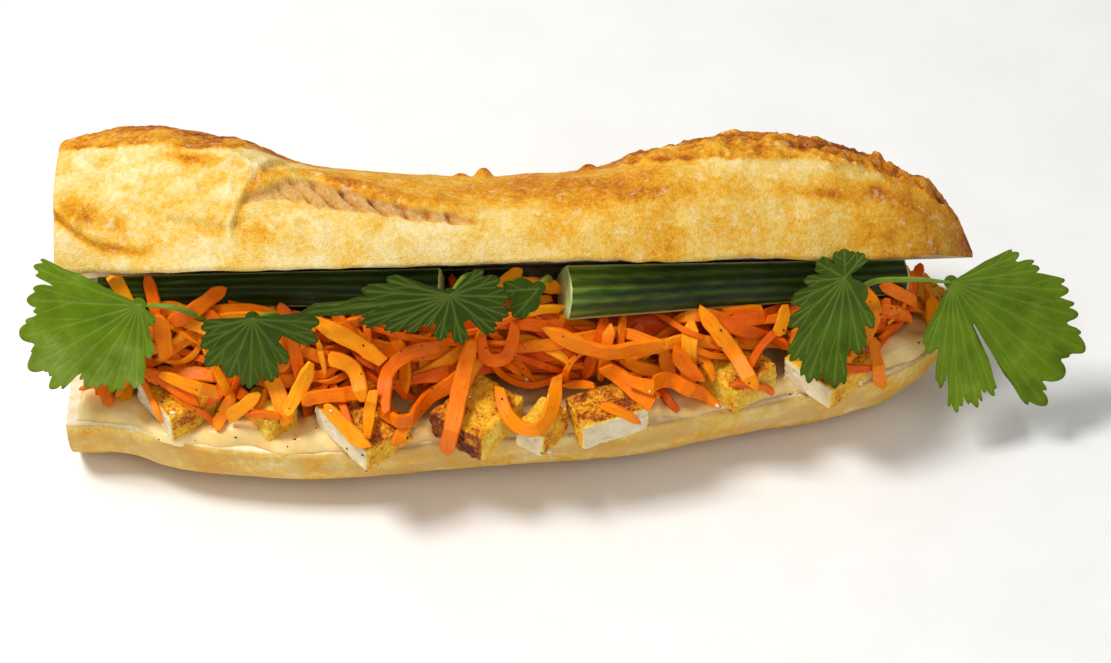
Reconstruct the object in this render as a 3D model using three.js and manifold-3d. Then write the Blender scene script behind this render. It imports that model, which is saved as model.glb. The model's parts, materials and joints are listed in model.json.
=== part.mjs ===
// A banh mi sandwich: a split baguette, hinged along its back crust and held open by its filling.
// Millimetres, +Z up. +X runs along the loaf from its cut end to its pointed end, and -Y is the open side.
// The origin is on the flat base, under the middle of the loaf.
import * as THREE from "three";
import { mergeVertices } from "three/addons/utils/BufferGeometryUtils.js";
import { RoundedBoxGeometry } from "three/addons/geometries/RoundedBoxGeometry.js";
import Module from "manifold-3d";

const wasm = await Module();
wasm.setup();

// ---- driving dimensions ----
const CUT_END = -111; // x of the end where the loaf was cut across
const TIP = 118.5; // x of the loaf's pointed end
const CUT_HEIGHT = 20; // the lower cut face above the base
const HINGE_Y = 32.5; // the fold line, just inside the back crust
const OPENING = THREE.MathUtils.degToRad(42); // how far the lid is folded back
const GAP = 0.3; // clearance between neighbouring pieces
const SPREAD_THICKNESS = 1.8;
const TOFU_THICKNESS = 8.5;
const LEAF_THICKNESS = 0.8;
const STEM_RADIUS = 0.8;

const COLOURS = {
  crust: 0xe0ab52,
  spread: 0xeed8a4,
  tofu: 0xdba63a,
  carrot: 0xe8820e,
  cucumber: 0x35450f,
  leaf: 0x587a12,
};

// ---- small tools ----

// A smooth curve through a few stations [x, value], held level past both ends.
function through(stations) {
  const places = stations.map(([place]) => place);
  const values = stations.map(([, value]) => value);
  const curve = new THREE.CubicInterpolant(places, values, 1);
  return (x) => curve.evaluate(THREE.MathUtils.clamp(x, places[0], places.at(-1)))[0];
}

// Evenly spaced numbers from a to b, both included.
function steps(a, b, count) {
  return Array.from({ length: count + 1 }, (_, i) => a + ((b - a) * i) / count);
}

// A closed solid's geometry turned so that its faces point out.
function facingOut(geometry) {
  const place = geometry.attributes.position;
  const index = geometry.index.array;
  const [a, b, c] = [new THREE.Vector3(), new THREE.Vector3(), new THREE.Vector3()];
  let volume = 0;
  for (let i = 0; i < index.length; i += 3) {
    a.fromBufferAttribute(place, index[i]);
    b.fromBufferAttribute(place, index[i + 1]);
    c.fromBufferAttribute(place, index[i + 2]);
    volume += a.dot(b.cross(c));
  }
  if (volume < 0) {
    for (let i = 0; i < index.length; i += 3) {
      [index[i + 1], index[i + 2]] = [index[i + 2], index[i + 1]];
    }
  }
  return geometry;
}

// A closed solid through rings of points, with a fan over each end.
function loft(rings) {
  const around = rings[0].length;
  const points = rings.flat();
  const index = [];
  for (let i = 0; i + 1 < rings.length; i++) {
    for (let j = 0; j < around; j++) {
      const [a, b] = [i * around + j, i * around + ((j + 1) % around)];
      index.push(a, b, a + around, b, b + around, a + around);
    }
  }
  for (const [ring, turned] of [[0, true], [rings.length - 1, false]]) {
    const middle = points.length;
    points.push(rings[ring].reduce((sum, p) => sum.add(p), new THREE.Vector3()).divideScalar(around));
    for (let j = 0; j < around; j++) {
      const [a, b] = [ring * around + j, ring * around + ((j + 1) % around)];
      index.push(middle, ...(turned ? [b, a] : [a, b]));
    }
  }
  const geometry = new THREE.BufferGeometry().setFromPoints(points);
  geometry.setIndex(index);
  return facingOut(geometry);
}

// The exact solid of a closed geometry, placed by a matrix, for cutting and joining.
function solidOf(geometry, matrix = new THREE.Matrix4()) {
  const bare = new THREE.BufferGeometry().setAttribute("position", geometry.attributes.position.clone());
  bare.setIndex(geometry.index ? geometry.index.clone() : null);
  const merged = mergeVertices(bare.applyMatrix4(matrix), 1e-4);
  return new wasm.Manifold(
    new wasm.Mesh({
      numProp: 3,
      vertProperties: new Float32Array(merged.attributes.position.array),
      triVerts: new Uint32Array(merged.index.array),
    }),
  );
}

// The geometry of a solid's largest body.
function geometryOf(solid) {
  const largest = solid.decompose().reduce((a, b) => (b.volume() > a.volume() ? b : a));
  const mesh = largest.getMesh();
  const geometry = new THREE.BufferGeometry();
  geometry.setAttribute("position", new THREE.BufferAttribute(mesh.vertProperties, 3));
  geometry.setIndex(new THREE.BufferAttribute(mesh.triVerts, 1));
  return geometry;
}

function piece(name, geometry, colour, roughness) {
  const material = new THREE.MeshStandardMaterial({ color: colour, roughness, metalness: 0 });
  const mesh = new THREE.Mesh(geometry, material);
  mesh.name = name;
  return mesh;
}

// ---- the loaf's outline ----

// Seen from above: where the front and the back crust meet the cut, along the loaf.
const frontEdge = through([
  [CUT_END, -22.3], [-97, -24], [-87, -28.7], [-53, -34.8], [-36, -34.7], [-15, -32.6], [25, -29.1],
  [45, -24.9], [67, -19.2], [81, -15.7], [95, -10.2], [109, 1.1], [TIP, 15.4],
]);
const backEdge = through([
  [CUT_END, 33], [-85, 37], [0, 38], [60, 36], [90, 31], [109, 23.5], [TIP, 17],
]);
// Seen from the side: the lid's thickness, with a swelling at each slash.
const lidHeight = through([
  [CUT_END, 33.6], [-104, 35.6], [-90, 36.7], [-74, 34.2], [-64, 32], [-55, 27.8], [-40, 25], [-20, 23],
  [5, 22.7], [25, 24.3], [36, 27.3], [46, 29.6], [57, 31.6], [71, 30.3], [81, 28.3], [91, 25.3],
  [102, 20.3], [107, 17.6], [112, 12.7], [116, 6.8], [TIP, 1.6],
]);
// How far the lower crust reaches under the cut. The base is trimmed flat where this passes CUT_HEIGHT.
const baseDepth = through([
  [CUT_END, 20.6], [60, 20.9], [88, 20.2], [104, 15], [113, 9], [TIP, 1.4],
]);

// Stations along the loaf, closer together where the tip rounds off.
const STATIONS = [...steps(CUT_END, 88, 30), ...steps(93, 108, 3), ...steps(111.5, TIP, 3)];
const LID_STEPS = 16;
const BASE_STEPS = 10;
const FACE_STEPS = 3;
const SQUARENESS = 0.8; // below 1 the section's shoulders are fuller than an ellipse's

// The torn slash on the lid's open side: a groove under a lifted flap of crust.
const SLASH = { from: -68, to: -6, side: 0.72, depth: 2.6, breadth: 0.1 };
// Blisters and nubs of crust on the lid: [x, place round the section from 0 at the back to 1, height, reach].
const BLISTERS = [
  [-78, 0.72, 1.5, 12], [-92, 0.5, 0.8, 9], [-6, 0.52, 1.6, 3.2], [20, 0.52, 1.3, 3.2],
  [78, 0.52, 1.0, 5], [92, 0.53, 1.7, 3], [60, 0.6, 0.8, 9], [40, 0.62, 0.7, 8],
];

function lidRelief(x, round) {
  const along = THREE.MathUtils.clamp((x - SLASH.from) / (SLASH.to - SLASH.from), 0, 1);
  const groove = Math.exp(-(((round - SLASH.side - 0.05 * along) / SLASH.breadth) ** 2));
  let relief = -SLASH.depth * Math.sin(Math.PI * along) * groove;
  for (const [at, side, height, reach] of BLISTERS) {
    const distance = ((x - at) / reach) ** 2 + ((round - side) / (reach / 70)) ** 2;
    relief += height * Math.exp(-distance);
  }
  return relief;
}

// One closed ring: the crust from the back edge round to the front one, then back along the cut face.
// `up` is 1 for the lid and -1 for the lower half, and `relief` lifts the crust.
function breadRing(x, up, height, relief, count) {
  const front = frontEdge(x);
  const back = backEdge(x);
  const middle = (front + back) / 2;
  const half = (back - front) / 2;
  const ring = [];
  for (const round of steps(0, 1, count)) {
    const [cosine, sine] = [Math.cos(Math.PI * round), Math.sin(Math.PI * round)];
    const across = Math.sign(cosine) * Math.abs(cosine) ** SQUARENESS;
    const out = Math.abs(sine) ** SQUARENESS;
    const lift = relief(x, round) * Math.min(1, 4 * sine);
    const y = middle + (half + lift) * across;
    const z = CUT_HEIGHT + up * (height + lift) * out;
    ring.push(new THREE.Vector3(x, y, Math.max(0, z)));
  }
  for (const share of steps(0, 1, FACE_STEPS).slice(1, -1)) {
    ring.push(new THREE.Vector3(x, front + (back - front) * share, CUT_HEIGHT));
  }
  return ring;
}

// Folds a point of the closed loaf's lid back about the hinge.
const lidFrame = new THREE.Matrix4()
  .makeTranslation(0, HINGE_Y, CUT_HEIGHT)
  .multiply(new THREE.Matrix4().makeRotationX(-OPENING))
  .multiply(new THREE.Matrix4().makeTranslation(0, -HINGE_Y, -CUT_HEIGHT));

function makeLoaf() {
  const lid = loft(STATIONS.map((x) => breadRing(x, 1, lidHeight(x), lidRelief, LID_STEPS)));
  const base = loft(STATIONS.map((x) => breadRing(x, -1, baseDepth(x), () => 0, BASE_STEPS)));
  return solidOf(base).add(solidOf(lid, lidFrame));
}

// ---- the filling's places ----

// A point under the lid: x along, `forward` from the hinge along the lid's cut face, `under` that face.
function underLid(x, forward, under) {
  const y = HINGE_Y - forward * Math.cos(OPENING) - under * Math.sin(OPENING);
  const z = CUT_HEIGHT + forward * Math.sin(OPENING) - under * Math.cos(OPENING);
  return new THREE.Vector3(x, y, z);
}

const lidReach = (x) => HINGE_Y - frontEdge(x);

// ---- mayonnaise, spread unevenly over the lower cut face ----
function makeSpread(cutters) {
  const outline = new THREE.Shape();
  const [from, to] = [CUT_END + 3, TIP - 8];
  const ripple = (x) => 1.6 + 0.9 * Math.sin(x * 0.31) * Math.sin(x * 0.13);
  const front = steps(from, to, 36).map((x) => [x, frontEdge(x) + ripple(x)]);
  const back = steps(to, from, 10).map((x) => [x, HINGE_Y - 13]);
  outline.setFromPoints([...front, ...back].map(([x, y]) => new THREE.Vector2(x, y)));
  const layer = new THREE.ExtrudeGeometry(outline, { depth: SPREAD_THICKNESS, bevelEnabled: false });
  layer.translate(0, 0, CUT_HEIGHT + GAP);
  return cutters.reduce((solid, cutter) => solid.subtract(cutter), solidOf(layer));
}

// ---- tofu: seared slices laid along the open side, a corner pointing out ----
// [x, y of the slice's outer corner, turn of its left side in degrees, left and right side lengths, tip down in degrees]
const TOFU = [
  [-84, -31, 123, 18, 15, 4],
  [-60.2, -32.8, 130, 12, 9.5, 5],
  [-36.5, -43.4, 130, 20, 15, 6],
  [-8.5, -40.8, 143, 16, 18, 5],
  [6.3, -40.2, 144, 8.5, 11.5, 5],
  [16, -37.6, 109, 12, 18, 4],
  [54.2, -26.2, 130, 14, 15, 4],
  [77.7, -25.6, 135, 16, 17, 5],
  [106.5, 3, 125, 12, 7.5, 3],
];
const TOFU_ROUNDING = 1.1;

// A slice, or where `grown` is given the plain block round it that keeps its neighbours clear.
function makeTofu([x, y, turn, left, right, tip], grown = 0) {
  const size = [left + 2 * grown, right + 2 * grown, TOFU_THICKNESS + 2 * grown];
  const slab = grown ? new THREE.BoxGeometry(...size) : new RoundedBoxGeometry(...size, 1, TOFU_ROUNDING);
  // Its outer corner is at the slab's lower left in plan before it is turned.
  slab.translate(left / 2, -right / 2, TOFU_THICKNESS / 2);
  const outward = new THREE.Vector3(Math.cos(Math.PI / 4), Math.sin(Math.PI / 4), 0);
  slab.applyMatrix4(new THREE.Matrix4().makeRotationAxis(outward, THREE.MathUtils.degToRad(-tip)));
  slab.rotateZ(THREE.MathUtils.degToRad(turn));
  slab.computeBoundingBox();
  slab.translate(x, y, CUT_HEIGHT + 2 * GAP + 0.5 - slab.boundingBox.min.z - grown);
  return slab;
}

// ---- cucumber: long sticks with the skin on the open side ----
// Both ends as [x, forward from the hinge, under the lid], thickness at both ends, and depth to its cut edge.
const CUCUMBERS = [
  { from: [13.5, 55.5, 0.5], to: [98, 35.5, 0.5], thick: [13.2, 8.6], deep: 10 },
  { from: [-101, 49, 0.5], to: [-18, 57, 0.5], thick: [7, 9.5], deep: 10 },
  { from: [-72, 37, 0.5], to: [2, 44, 0.5], thick: [10.5, 9.5], deep: 9 },
];
const SKIN_STEPS = 5;
const SKIN_SWELL = 0.3; // how far the skin bulges, as a share of the thickness

function makeCucumber({ from, to, thick, deep }, grown = 0) {
  const [start, end] = [underLid(...from), underLid(...to)];
  const axis = new THREE.Vector3().subVectors(end, start).normalize();
  const down = new THREE.Vector3().subVectors(underLid(0, 0, 1), underLid(0, 0, 0));
  const out = new THREE.Vector3().crossVectors(down, axis).normalize();
  const length = start.distanceTo(end);
  const rings = steps(-grown, length + grown, 5).map((travel) => {
    const height = THREE.MathUtils.lerp(thick[0], thick[1], travel / length);
    const at = (forward, below) =>
      start.clone().addScaledVector(axis, travel).addScaledVector(out, forward).addScaledVector(down, below);
    const ring = steps(0, 1, SKIN_STEPS).map((round) =>
      at(SKIN_SWELL * height * Math.sin(Math.PI * round) + grown, (height + 2 * grown) * round - grown),
    );
    ring.push(at(-deep - grown, 0.8 * height + grown), at(-deep - grown, 0.2 * height - grown));
    return ring;
  });
  return loft(rings);
}

// ---- coriander: lobed leaves on thin stems ----
const LEAF_ANGLES = 38;
const LEAF_RINGS = 2;

// How far a leaf reaches from its stalk in a direction, in degrees: its lobes are fans with slits between them.
function leafReach(direction, { lobes }) {
  const reaches = lobes.map(([at, length, breadth]) => {
    const off = Math.abs(THREE.MathUtils.euclideanModulo(direction - at + 180, 360) - 180) / breadth;
    return length * Math.sqrt(Math.max(0, 1 - off ** 4));
  });
  return Math.max(LEAF_HEEL, ...reaches);
}

// The leaf's own frame: x level, y up its face, z out of it. The face curls back as it goes out.
function leafPoint(direction, reach, { curl, twist }, height) {
  const turn = THREE.MathUtils.degToRad(direction);
  const [x, y] = [reach * Math.cos(turn), reach * Math.sin(turn)];
  return new THREE.Vector3(x, y, height - curl * (x * x + y * y) + twist * x * y);
}

function leafFrame({ stalk, faces }) {
  const out = new THREE.Vector3(...faces).normalize();
  const level = new THREE.Vector3(0, 0, 1).cross(out).normalize();
  const up = new THREE.Vector3().crossVectors(out, level);
  return new THREE.Matrix4().makeBasis(level, up, out).setPosition(...stalk);
}

function makeBlade(shape, grown = 0) {
  const directions = steps(0, 360, LEAF_ANGLES).slice(0, -1);
  const half = LEAF_THICKNESS / 2 + grown;
  const points = [];
  const index = [];
  for (const height of [half, -half]) {
    points.push(leafPoint(0, 0, shape, height));
    for (const share of steps(0, 1, LEAF_RINGS).slice(1)) {
      for (const direction of directions) {
        points.push(leafPoint(direction, (leafReach(direction, shape) + grown) * share, shape, height));
      }
    }
  }
  const layer = 1 + LEAF_RINGS * LEAF_ANGLES;
  const rim = layer - LEAF_ANGLES;
  for (let j = 0; j < LEAF_ANGLES; j++) {
    const next = (j + 1) % LEAF_ANGLES;
    for (const [start, flip] of [[0, false], [layer, true]]) {
      const faces = [[start, start + 1 + j, start + 1 + next]];
      for (let ring = 1; ring < LEAF_RINGS; ring++) {
        const inner = start + 1 + (ring - 1) * LEAF_ANGLES;
        const [a, b] = [inner + j, inner + next];
        faces.push([a, a + LEAF_ANGLES, b], [b, a + LEAF_ANGLES, b + LEAF_ANGLES]);
      }
      for (const [a, b, c] of faces) index.push(...(flip ? [a, c, b] : [a, b, c]));
    }
    const [a, b] = [rim + j, rim + next];
    index.push(a, a + layer, b, b, a + layer, b + layer);
  }
  const geometry = new THREE.BufferGeometry().setFromPoints(points);
  geometry.setIndex(index);
  return facingOut(geometry).applyMatrix4(leafFrame(shape));
}

// The stem runs through its route to the stalk and ends inside the blade.
function makeStem({ stem, stalk, faces, lobes }, grown = 0) {
  const inBlade = leafPoint(lobes[0][0], LEAF_HEEL, { curl: 0, twist: 0 }, 0);
  inBlade.applyMatrix4(leafFrame({ stalk, faces }));
  const route = [...stem, stalk].map((point) => new THREE.Vector3(...point));
  const section = new THREE.Shape().absarc(0, 0, STEM_RADIUS + grown, 0, 2 * Math.PI);
  return new THREE.ExtrudeGeometry(section, {
    extrudePath: new THREE.CatmullRomCurve3([...route, inBlade]),
    steps: 6,
    curveSegments: 3,
  });
}

function makeLeaf(shape, grown = 0) {
  return solidOf(makeBlade(shape, grown)).add(solidOf(makeStem(shape, grown)));
}

// Lobes are [direction in degrees from level, length, half the fan's angle], the short one joining the rest.
const LEAF_HEEL = 1.8;
const LEAVES = [
  {
    stalk: [-90, -18.5, 55.5], faces: [-0.1, -0.88, 0.44], curl: 0.003, twist: 0.002,
    lobes: [[228, 10, 75], [187, 28.5, 22], [226, 35, 21], [264, 27, 19], [300, 13, 18]],
    stem: [[-74, -14, 46], [-82, -17.5, 53.5]],
  },
  {
    stalk: [-62.7, -23.2, 54.5], faces: [0.05, -0.93, 0.36], curl: 0.006, twist: 0,
    lobes: [[270, 9, 100], [205, 14, 34], [268, 22, 30], [333, 18.5, 30]],
    stem: [[-56, -15, 47], [-59, -20.5, 53]],
  },
  {
    stalk: [-15.3, -22, 59.4], faces: [0.03, -0.93, 0.36], curl: 0.001, twist: 0,
    lobes: [[258, 9, 90], [190, 40, 9], [206, 27, 17], [270, 17.5, 30], [325, 18.5, 26]],
    stem: [[-9, -9, 54.5], [-12, -16, 59.5]],
  },
  {
    stalk: [81, -10.5, 52], faces: [0, -0.8, 0.6], curl: -0.002, twist: 0,
    lobes: [[262, 9, 70], [261, 31.5, 15], [232, 20, 18], [290, 18, 18], [60, 3.5, 60]],
    stem: [[76, -7, 38], [78, -9.8, 45]],
  },
  {
    stalk: [109.5, 0, 40.5], faces: [0.02, -0.76, 0.65], curl: 0.002, twist: 0.001,
    lobes: [[-36, 14, 80], [8, 30, 31], [-39, 40.5, 15], [-84, 33.5, 27]],
    stem: [[84, -6, 38], [87, -6.5, 46], [98, -3, 44.5]],
  },
  {
    stalk: [6, -18, 57.5], faces: [0.1, -0.93, 0.36], curl: 0.004, twist: 0,
    lobes: [[205, 7, 75], [180, 9, 26], [228, 9.5, 24]],
    stem: [[9.5, -6, 48.5], [8, -12, 55.5]],
  },
];

// ---- carrots: one heap of shreds, out to its uneven outline ----
const HEAP_FROM = CUT_END + 4;
const HEAP_TO = TIP - 11;
const HEAP_BULGE = 4.5; // how far the shreds swell out of the loaf's mouth
const HEAP_BACK = 7; // how far the heap stays inside the back crust
const FOLD_REACH = 15; // the fold holds no filling as far forward as this

// How far under the lid the heap's front edge stays, where cucumber lies over it.
const heapTop = through([
  [HEAP_FROM, 2], [-92, 3.2], [-76, 5.8], [-56, 8], [-26, 8], [-14, 3.6], [0, 2.8], [8, 4.2], [14, 12.4], [45, 11.6],
  [97, 7.6], [HEAP_TO, 2.5],
]);

function heapRing(x) {
  const ends = Math.min(1, 0.55 + (x - HEAP_FROM) / 14, 0.5 + (HEAP_TO - x) / 16);
  const rear = Math.min(HINGE_Y - FOLD_REACH, backEdge(x) - HEAP_BACK);
  const deepest = HINGE_Y - rear;
  const forward = (share) => THREE.MathUtils.lerp(deepest, lidReach(x), share * ends);
  const low = new THREE.Vector3(x, frontEdge(x) + 13 - 4 * ends, CUT_HEIGHT + SPREAD_THICKNESS + 2 * GAP);
  const high = underLid(x, forward(0.8), heapTop(x));
  const ring = [];
  for (const share of steps(0, 1, 5)) {
    const point = new THREE.Vector3().lerpVectors(low, high, share);
    const ripple = 0.9 * Math.sin(x * 0.42 + share * 5) + 0.7 * Math.sin(x * 0.23 - share * 7);
    point.y -= (HEAP_BULGE * ends + ripple) * Math.sin(Math.PI * share);
    ring.push(point);
  }
  for (const share of [0.55, 0.3, 0.05]) {
    ring.push(underLid(x, forward(share), 1.2));
  }
  ring.push(new THREE.Vector3(x, rear, low.z + 0.5), new THREE.Vector3(x, (rear + low.y) / 2, low.z));
  return ring;
}

function makeHeap(cutters) {
  const heap = solidOf(loft(steps(HEAP_FROM, HEAP_TO, 36).map(heapRing)));
  return cutters.reduce((solid, cutter) => solid.subtract(cutter), heap);
}

// ---- the sandwich ----
const sandwich = new THREE.Group();
sandwich.name = "banh_mi";

sandwich.add(piece("loaf", geometryOf(makeLoaf()), COLOURS.crust, 0.75));

const tofuSolids = TOFU.map((slice) => solidOf(makeTofu(slice)));
const tofuCutters = TOFU.map((slice) => solidOf(makeTofu(slice, GAP)));
tofuSolids.forEach((solid, i) => {
  sandwich.add(piece(`tofu_${i + 1}`, geometryOf(solid), COLOURS.tofu, 0.7));
});
sandwich.add(piece("mayonnaise", geometryOf(makeSpread(tofuCutters)), COLOURS.spread, 0.35));

CUCUMBERS.forEach((stick, i) => {
  sandwich.add(piece(`cucumber_${i + 1}`, makeCucumber(stick), COLOURS.cucumber, 0.4));
});
const cucumberCutters = CUCUMBERS.map((stick) => solidOf(makeCucumber(stick, GAP)));

LEAVES.forEach((shape, i) => {
  sandwich.add(piece(`coriander_${i + 1}`, geometryOf(makeLeaf(shape)), COLOURS.leaf, 0.5));
});
const leafCutters = LEAVES.map((shape) => makeLeaf(shape, GAP));

const heap = makeHeap([...tofuCutters, ...cucumberCutters, ...leafCutters]);
sandwich.add(piece("carrot_heap", geometryOf(heap), COLOURS.carrot, 0.5));

export default sandwich;
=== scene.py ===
# A banh mi sandwich: a split baguette held open by carrot, cucumber, seared tofu and coriander.
# Every size is in millimetres until a mesh or a place is handed to Blender, which wants metres.
import itertools
import json
import math

import bmesh
import bpy
import numpy as np
from mathutils import Matrix, Vector
from mathutils.bvhtree import BVHTree

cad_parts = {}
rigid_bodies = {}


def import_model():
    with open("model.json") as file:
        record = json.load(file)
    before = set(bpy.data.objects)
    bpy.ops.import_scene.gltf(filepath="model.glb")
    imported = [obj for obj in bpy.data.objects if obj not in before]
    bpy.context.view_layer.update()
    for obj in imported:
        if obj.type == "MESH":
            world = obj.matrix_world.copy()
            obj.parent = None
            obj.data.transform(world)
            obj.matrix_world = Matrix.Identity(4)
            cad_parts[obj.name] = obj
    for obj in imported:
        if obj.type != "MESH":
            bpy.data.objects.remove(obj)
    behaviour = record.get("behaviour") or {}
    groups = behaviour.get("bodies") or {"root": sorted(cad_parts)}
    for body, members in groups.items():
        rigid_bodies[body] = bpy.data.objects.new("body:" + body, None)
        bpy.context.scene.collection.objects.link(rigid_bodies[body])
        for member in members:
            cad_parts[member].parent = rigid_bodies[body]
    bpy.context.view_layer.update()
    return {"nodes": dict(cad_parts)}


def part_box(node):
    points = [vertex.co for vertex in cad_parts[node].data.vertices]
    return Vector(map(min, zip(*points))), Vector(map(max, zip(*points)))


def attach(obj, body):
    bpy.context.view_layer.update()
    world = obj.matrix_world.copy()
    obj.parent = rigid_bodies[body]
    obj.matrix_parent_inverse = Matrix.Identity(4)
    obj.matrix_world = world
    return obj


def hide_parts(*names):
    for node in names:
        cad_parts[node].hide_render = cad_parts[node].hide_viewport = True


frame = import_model()

# ---- Table top and daylight ----
# A plain pale table under a soft window high on the left, looked down on from the open side.
MM = 0.001
LOOKING_DOWN = math.radians(42)
TURNED = math.radians(-2)
AIM = Vector((10.6, -3.7, 30.4)) * MM
DISTANCE = 760 * MM
LENS = 98.5


def colour(red, green, blue):
    """A paint-chart colour, 0 to 255, as Blender's linear colour."""
    shares = [value / 255 for value in (red, green, blue)]
    return (*[s / 12.92 if s < 0.04 else ((s + 0.055) / 1.055) ** 2.4 for s in shares], 1)


def add(tree, kind, sockets=None, **settings):
    """A shader node with its settings, and its sockets set to values or linked to other nodes."""
    node = tree.nodes.new("ShaderNode" + kind)
    for name, value in settings.items():
        setattr(node, name, value)
    for name, value in (sockets or {}).items():
        if isinstance(value, bpy.types.NodeSocket):
            tree.links.new(value, node.inputs[name])
        else:
            node.inputs[name].default_value = value
    return node


def finish(name, **sockets):
    """A new material, with its tree and its shader."""
    material = bpy.data.materials.new(name)
    material.use_nodes = True
    shader = material.node_tree.nodes["Principled BSDF"]
    for socket, value in sockets.items():
        shader.inputs[socket.replace("_", " ")].default_value = value
    return material, material.node_tree, shader


def speckle(tree, size, detail=3.0, roughness=0.55):
    """Soft noise through the material, about `size` from spot to spot."""
    place = add(tree, "TexCoord").outputs["Object"]
    sockets = {"Vector": place, "Scale": 1 / (size * MM), "Detail": detail, "Roughness": roughness}
    return add(tree, "TexNoise", sockets).outputs["Fac"]


def ramp(tree, value, *stops):
    """A colour that follows a value through stops of (place, colour)."""
    node = add(tree, "ValToRGB", {"Fac": value})
    marks = node.color_ramp.elements
    for i, (place, shade) in enumerate(stops):
        mark = marks[i] if i < 2 else marks.new(place)
        mark.position = place
        mark.color = shade
    return node.outputs["Color"]


def coat(tree, shader, shade):
    """Gives the finish its colour."""
    tree.links.new(shade, shader.inputs["Base Color"])


table_finish, tree, shader = finish("table_top", Roughness=0.6)
grain_of_table = speckle(tree, 30)
coat(
    tree, shader,
    ramp(tree, grain_of_table, (0.3, colour(242, 242, 240)), (0.7, colour(247, 247, 245))),
)
bpy.ops.mesh.primitive_plane_add(size=6)
table = bpy.context.object
table.name = "table"
table.data.materials.append(table_finish)

sky = bpy.data.worlds.new("sky")
sky.use_nodes = True
sky.node_tree.nodes["Background"].inputs["Color"].default_value = (0.97, 0.98, 1.0, 1)
sky.node_tree.nodes["Background"].inputs["Strength"].default_value = 0.4
bpy.context.scene.world = sky


def window(name, place, size, power, tint=(1, 1, 1)):
    lamp = bpy.data.objects.new(name, bpy.data.lights.new(name, "AREA"))
    lamp.data.size = size
    lamp.data.energy = power
    lamp.data.color = tint
    lamp.location = place
    lamp.rotation_euler = (AIM - Vector(place)).to_track_quat("-Z", "Y").to_euler()
    bpy.context.scene.collection.objects.link(lamp)


window("window_left", (-0.5, -0.05, 0.95), 0.32, 9.2, (1, 0.985, 0.96))
window("window_front", (0.3, -0.8, 0.9), 0.6, 2.0)

camera = bpy.data.objects.new("camera", bpy.data.cameras.new("camera"))
towards = Vector((
    math.sin(TURNED) * math.cos(LOOKING_DOWN),
    -math.cos(TURNED) * math.cos(LOOKING_DOWN),
    math.sin(LOOKING_DOWN),
))
camera.data.lens = LENS
camera.location = AIM + towards * DISTANCE
camera.rotation_euler = towards.to_track_quat("Z", "Y").to_euler()
bpy.context.scene.collection.objects.link(camera)
bpy.context.scene.camera = camera
bpy.context.scene.view_settings.view_transform = "Standard"

# ---- The loaf ----
# A baguette of white dough, slashed, baked on a floured board, then cut across at its left end.
# It is slit along its open side and folded back along the rear crust, which stays whole.
loaf_low, loaf_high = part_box("loaf")
CUT_END = loaf_low.x / MM
TIP = loaf_high.x / MM
CUT_HEIGHT = 20  # the lower cut face above the table
HINGE = 32.5
OPENING = math.radians(42)
SQUARENESS = 0.8  # below 1 the shoulders are fuller than an ellipse's
AROUND = 87  # the lid's crust from edge to edge
NOSE = 6  # the length behind the tip where the rings stand closer


def through(*stations):
    """A smooth curve through stations of (x, value)."""
    places, values = np.array(stations, float).T
    slopes = np.gradient(values, places)

    def curve(x):
        x = np.clip(x, places[0], places[-1])
        i = np.clip(np.searchsorted(places, x) - 1, 0, len(places) - 2)
        step = places[i + 1] - places[i]
        t = (x - places[i]) / step
        start = (1 + 2 * t) * (1 - t) ** 2 * values[i] + t * (1 - t) ** 2 * step * slopes[i]
        end = t * t * (3 - 2 * t) * values[i + 1] + t * t * (t - 1) * step * slopes[i + 1]
        return start + end

    return curve


def rise(value, start, end):
    """0 before start, 1 after end, and smooth between them."""
    t = np.clip((value - start) / (end - start), 0, 1)
    return t * t * (3 - 2 * t)


def hump(value, middle, reach):
    return np.exp(-(((value - middle) / reach) ** 2))


def grain(points, size, seed=0):
    """Smooth random swelling from -1 to 1 through space, about `size` from one swelling to the next."""
    place = np.asarray(points) / size + 512.5
    cell = np.floor(place).astype(np.int64)
    inside = place - cell
    inside = inside * inside * (3 - 2 * inside)
    total = np.zeros(place.shape[:-1])
    for corner in itertools.product((0, 1), repeat=3):
        code = ((cell + corner) * (73856093, 19349663, 83492791)).sum(-1) + seed * 7919
        code = ((code & 0xFFFFFFFF) * 1274126177) & 0xFFFFFFFF
        code = ((code ^ (code >> 15)) * 846871) & 0xFFFFFFFF
        height = ((code ^ (code >> 13)) & 0xFFFF) / 32767.5 - 1
        total += height * np.where(corner, inside, 1 - inside).prod(-1)
    return total


def rough(points, size, seed=0, layers=3):
    """Grain with finer grain on it."""
    return sum(grain(points, size / 2**i, seed + 31 * i) / 2**i for i in range(layers)) / 1.6


def stack(*columns):
    return np.stack(np.broadcast_arrays(*columns), axis=-1)


def tube_faces(rows, around, offset=0):
    """Quads of a tube of `rows` rings of `around` points, turned to face out when rings run along +X."""
    row, column = np.meshgrid(np.arange(rows - 1), np.arange(around), indexing="ij")
    a = row * around + column
    b = row * around + (column + 1) % around
    return (np.stack([a, b, b + around, a + around], -1).reshape(-1, 4) + offset).tolist()


def make_piece(name, points, faces, material, paint=None, crisp_over=0):
    """A piece of food from points in millimetres, with named paint values on its points."""
    mesh = bpy.data.meshes.new(name)
    mesh.from_pydata((np.asarray(points) * MM).tolist(), [], faces)
    shape = bmesh.new()
    shape.from_mesh(mesh)
    bmesh.ops.recalc_face_normals(shape, faces=shape.faces)
    shape.to_mesh(mesh)
    shape.free()
    for label, values in (paint or {}).items():
        mesh.attributes.new(label, "FLOAT", "POINT").data.foreach_set("value", np.ravel(values))
    mesh.shade_smooth()
    if crisp_over:
        mesh.set_sharp_from_angle(angle=math.radians(crisp_over))
    mesh.materials.append(material)
    piece = bpy.data.objects.new(name, mesh)
    bpy.context.scene.collection.objects.link(piece)
    return piece


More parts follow.
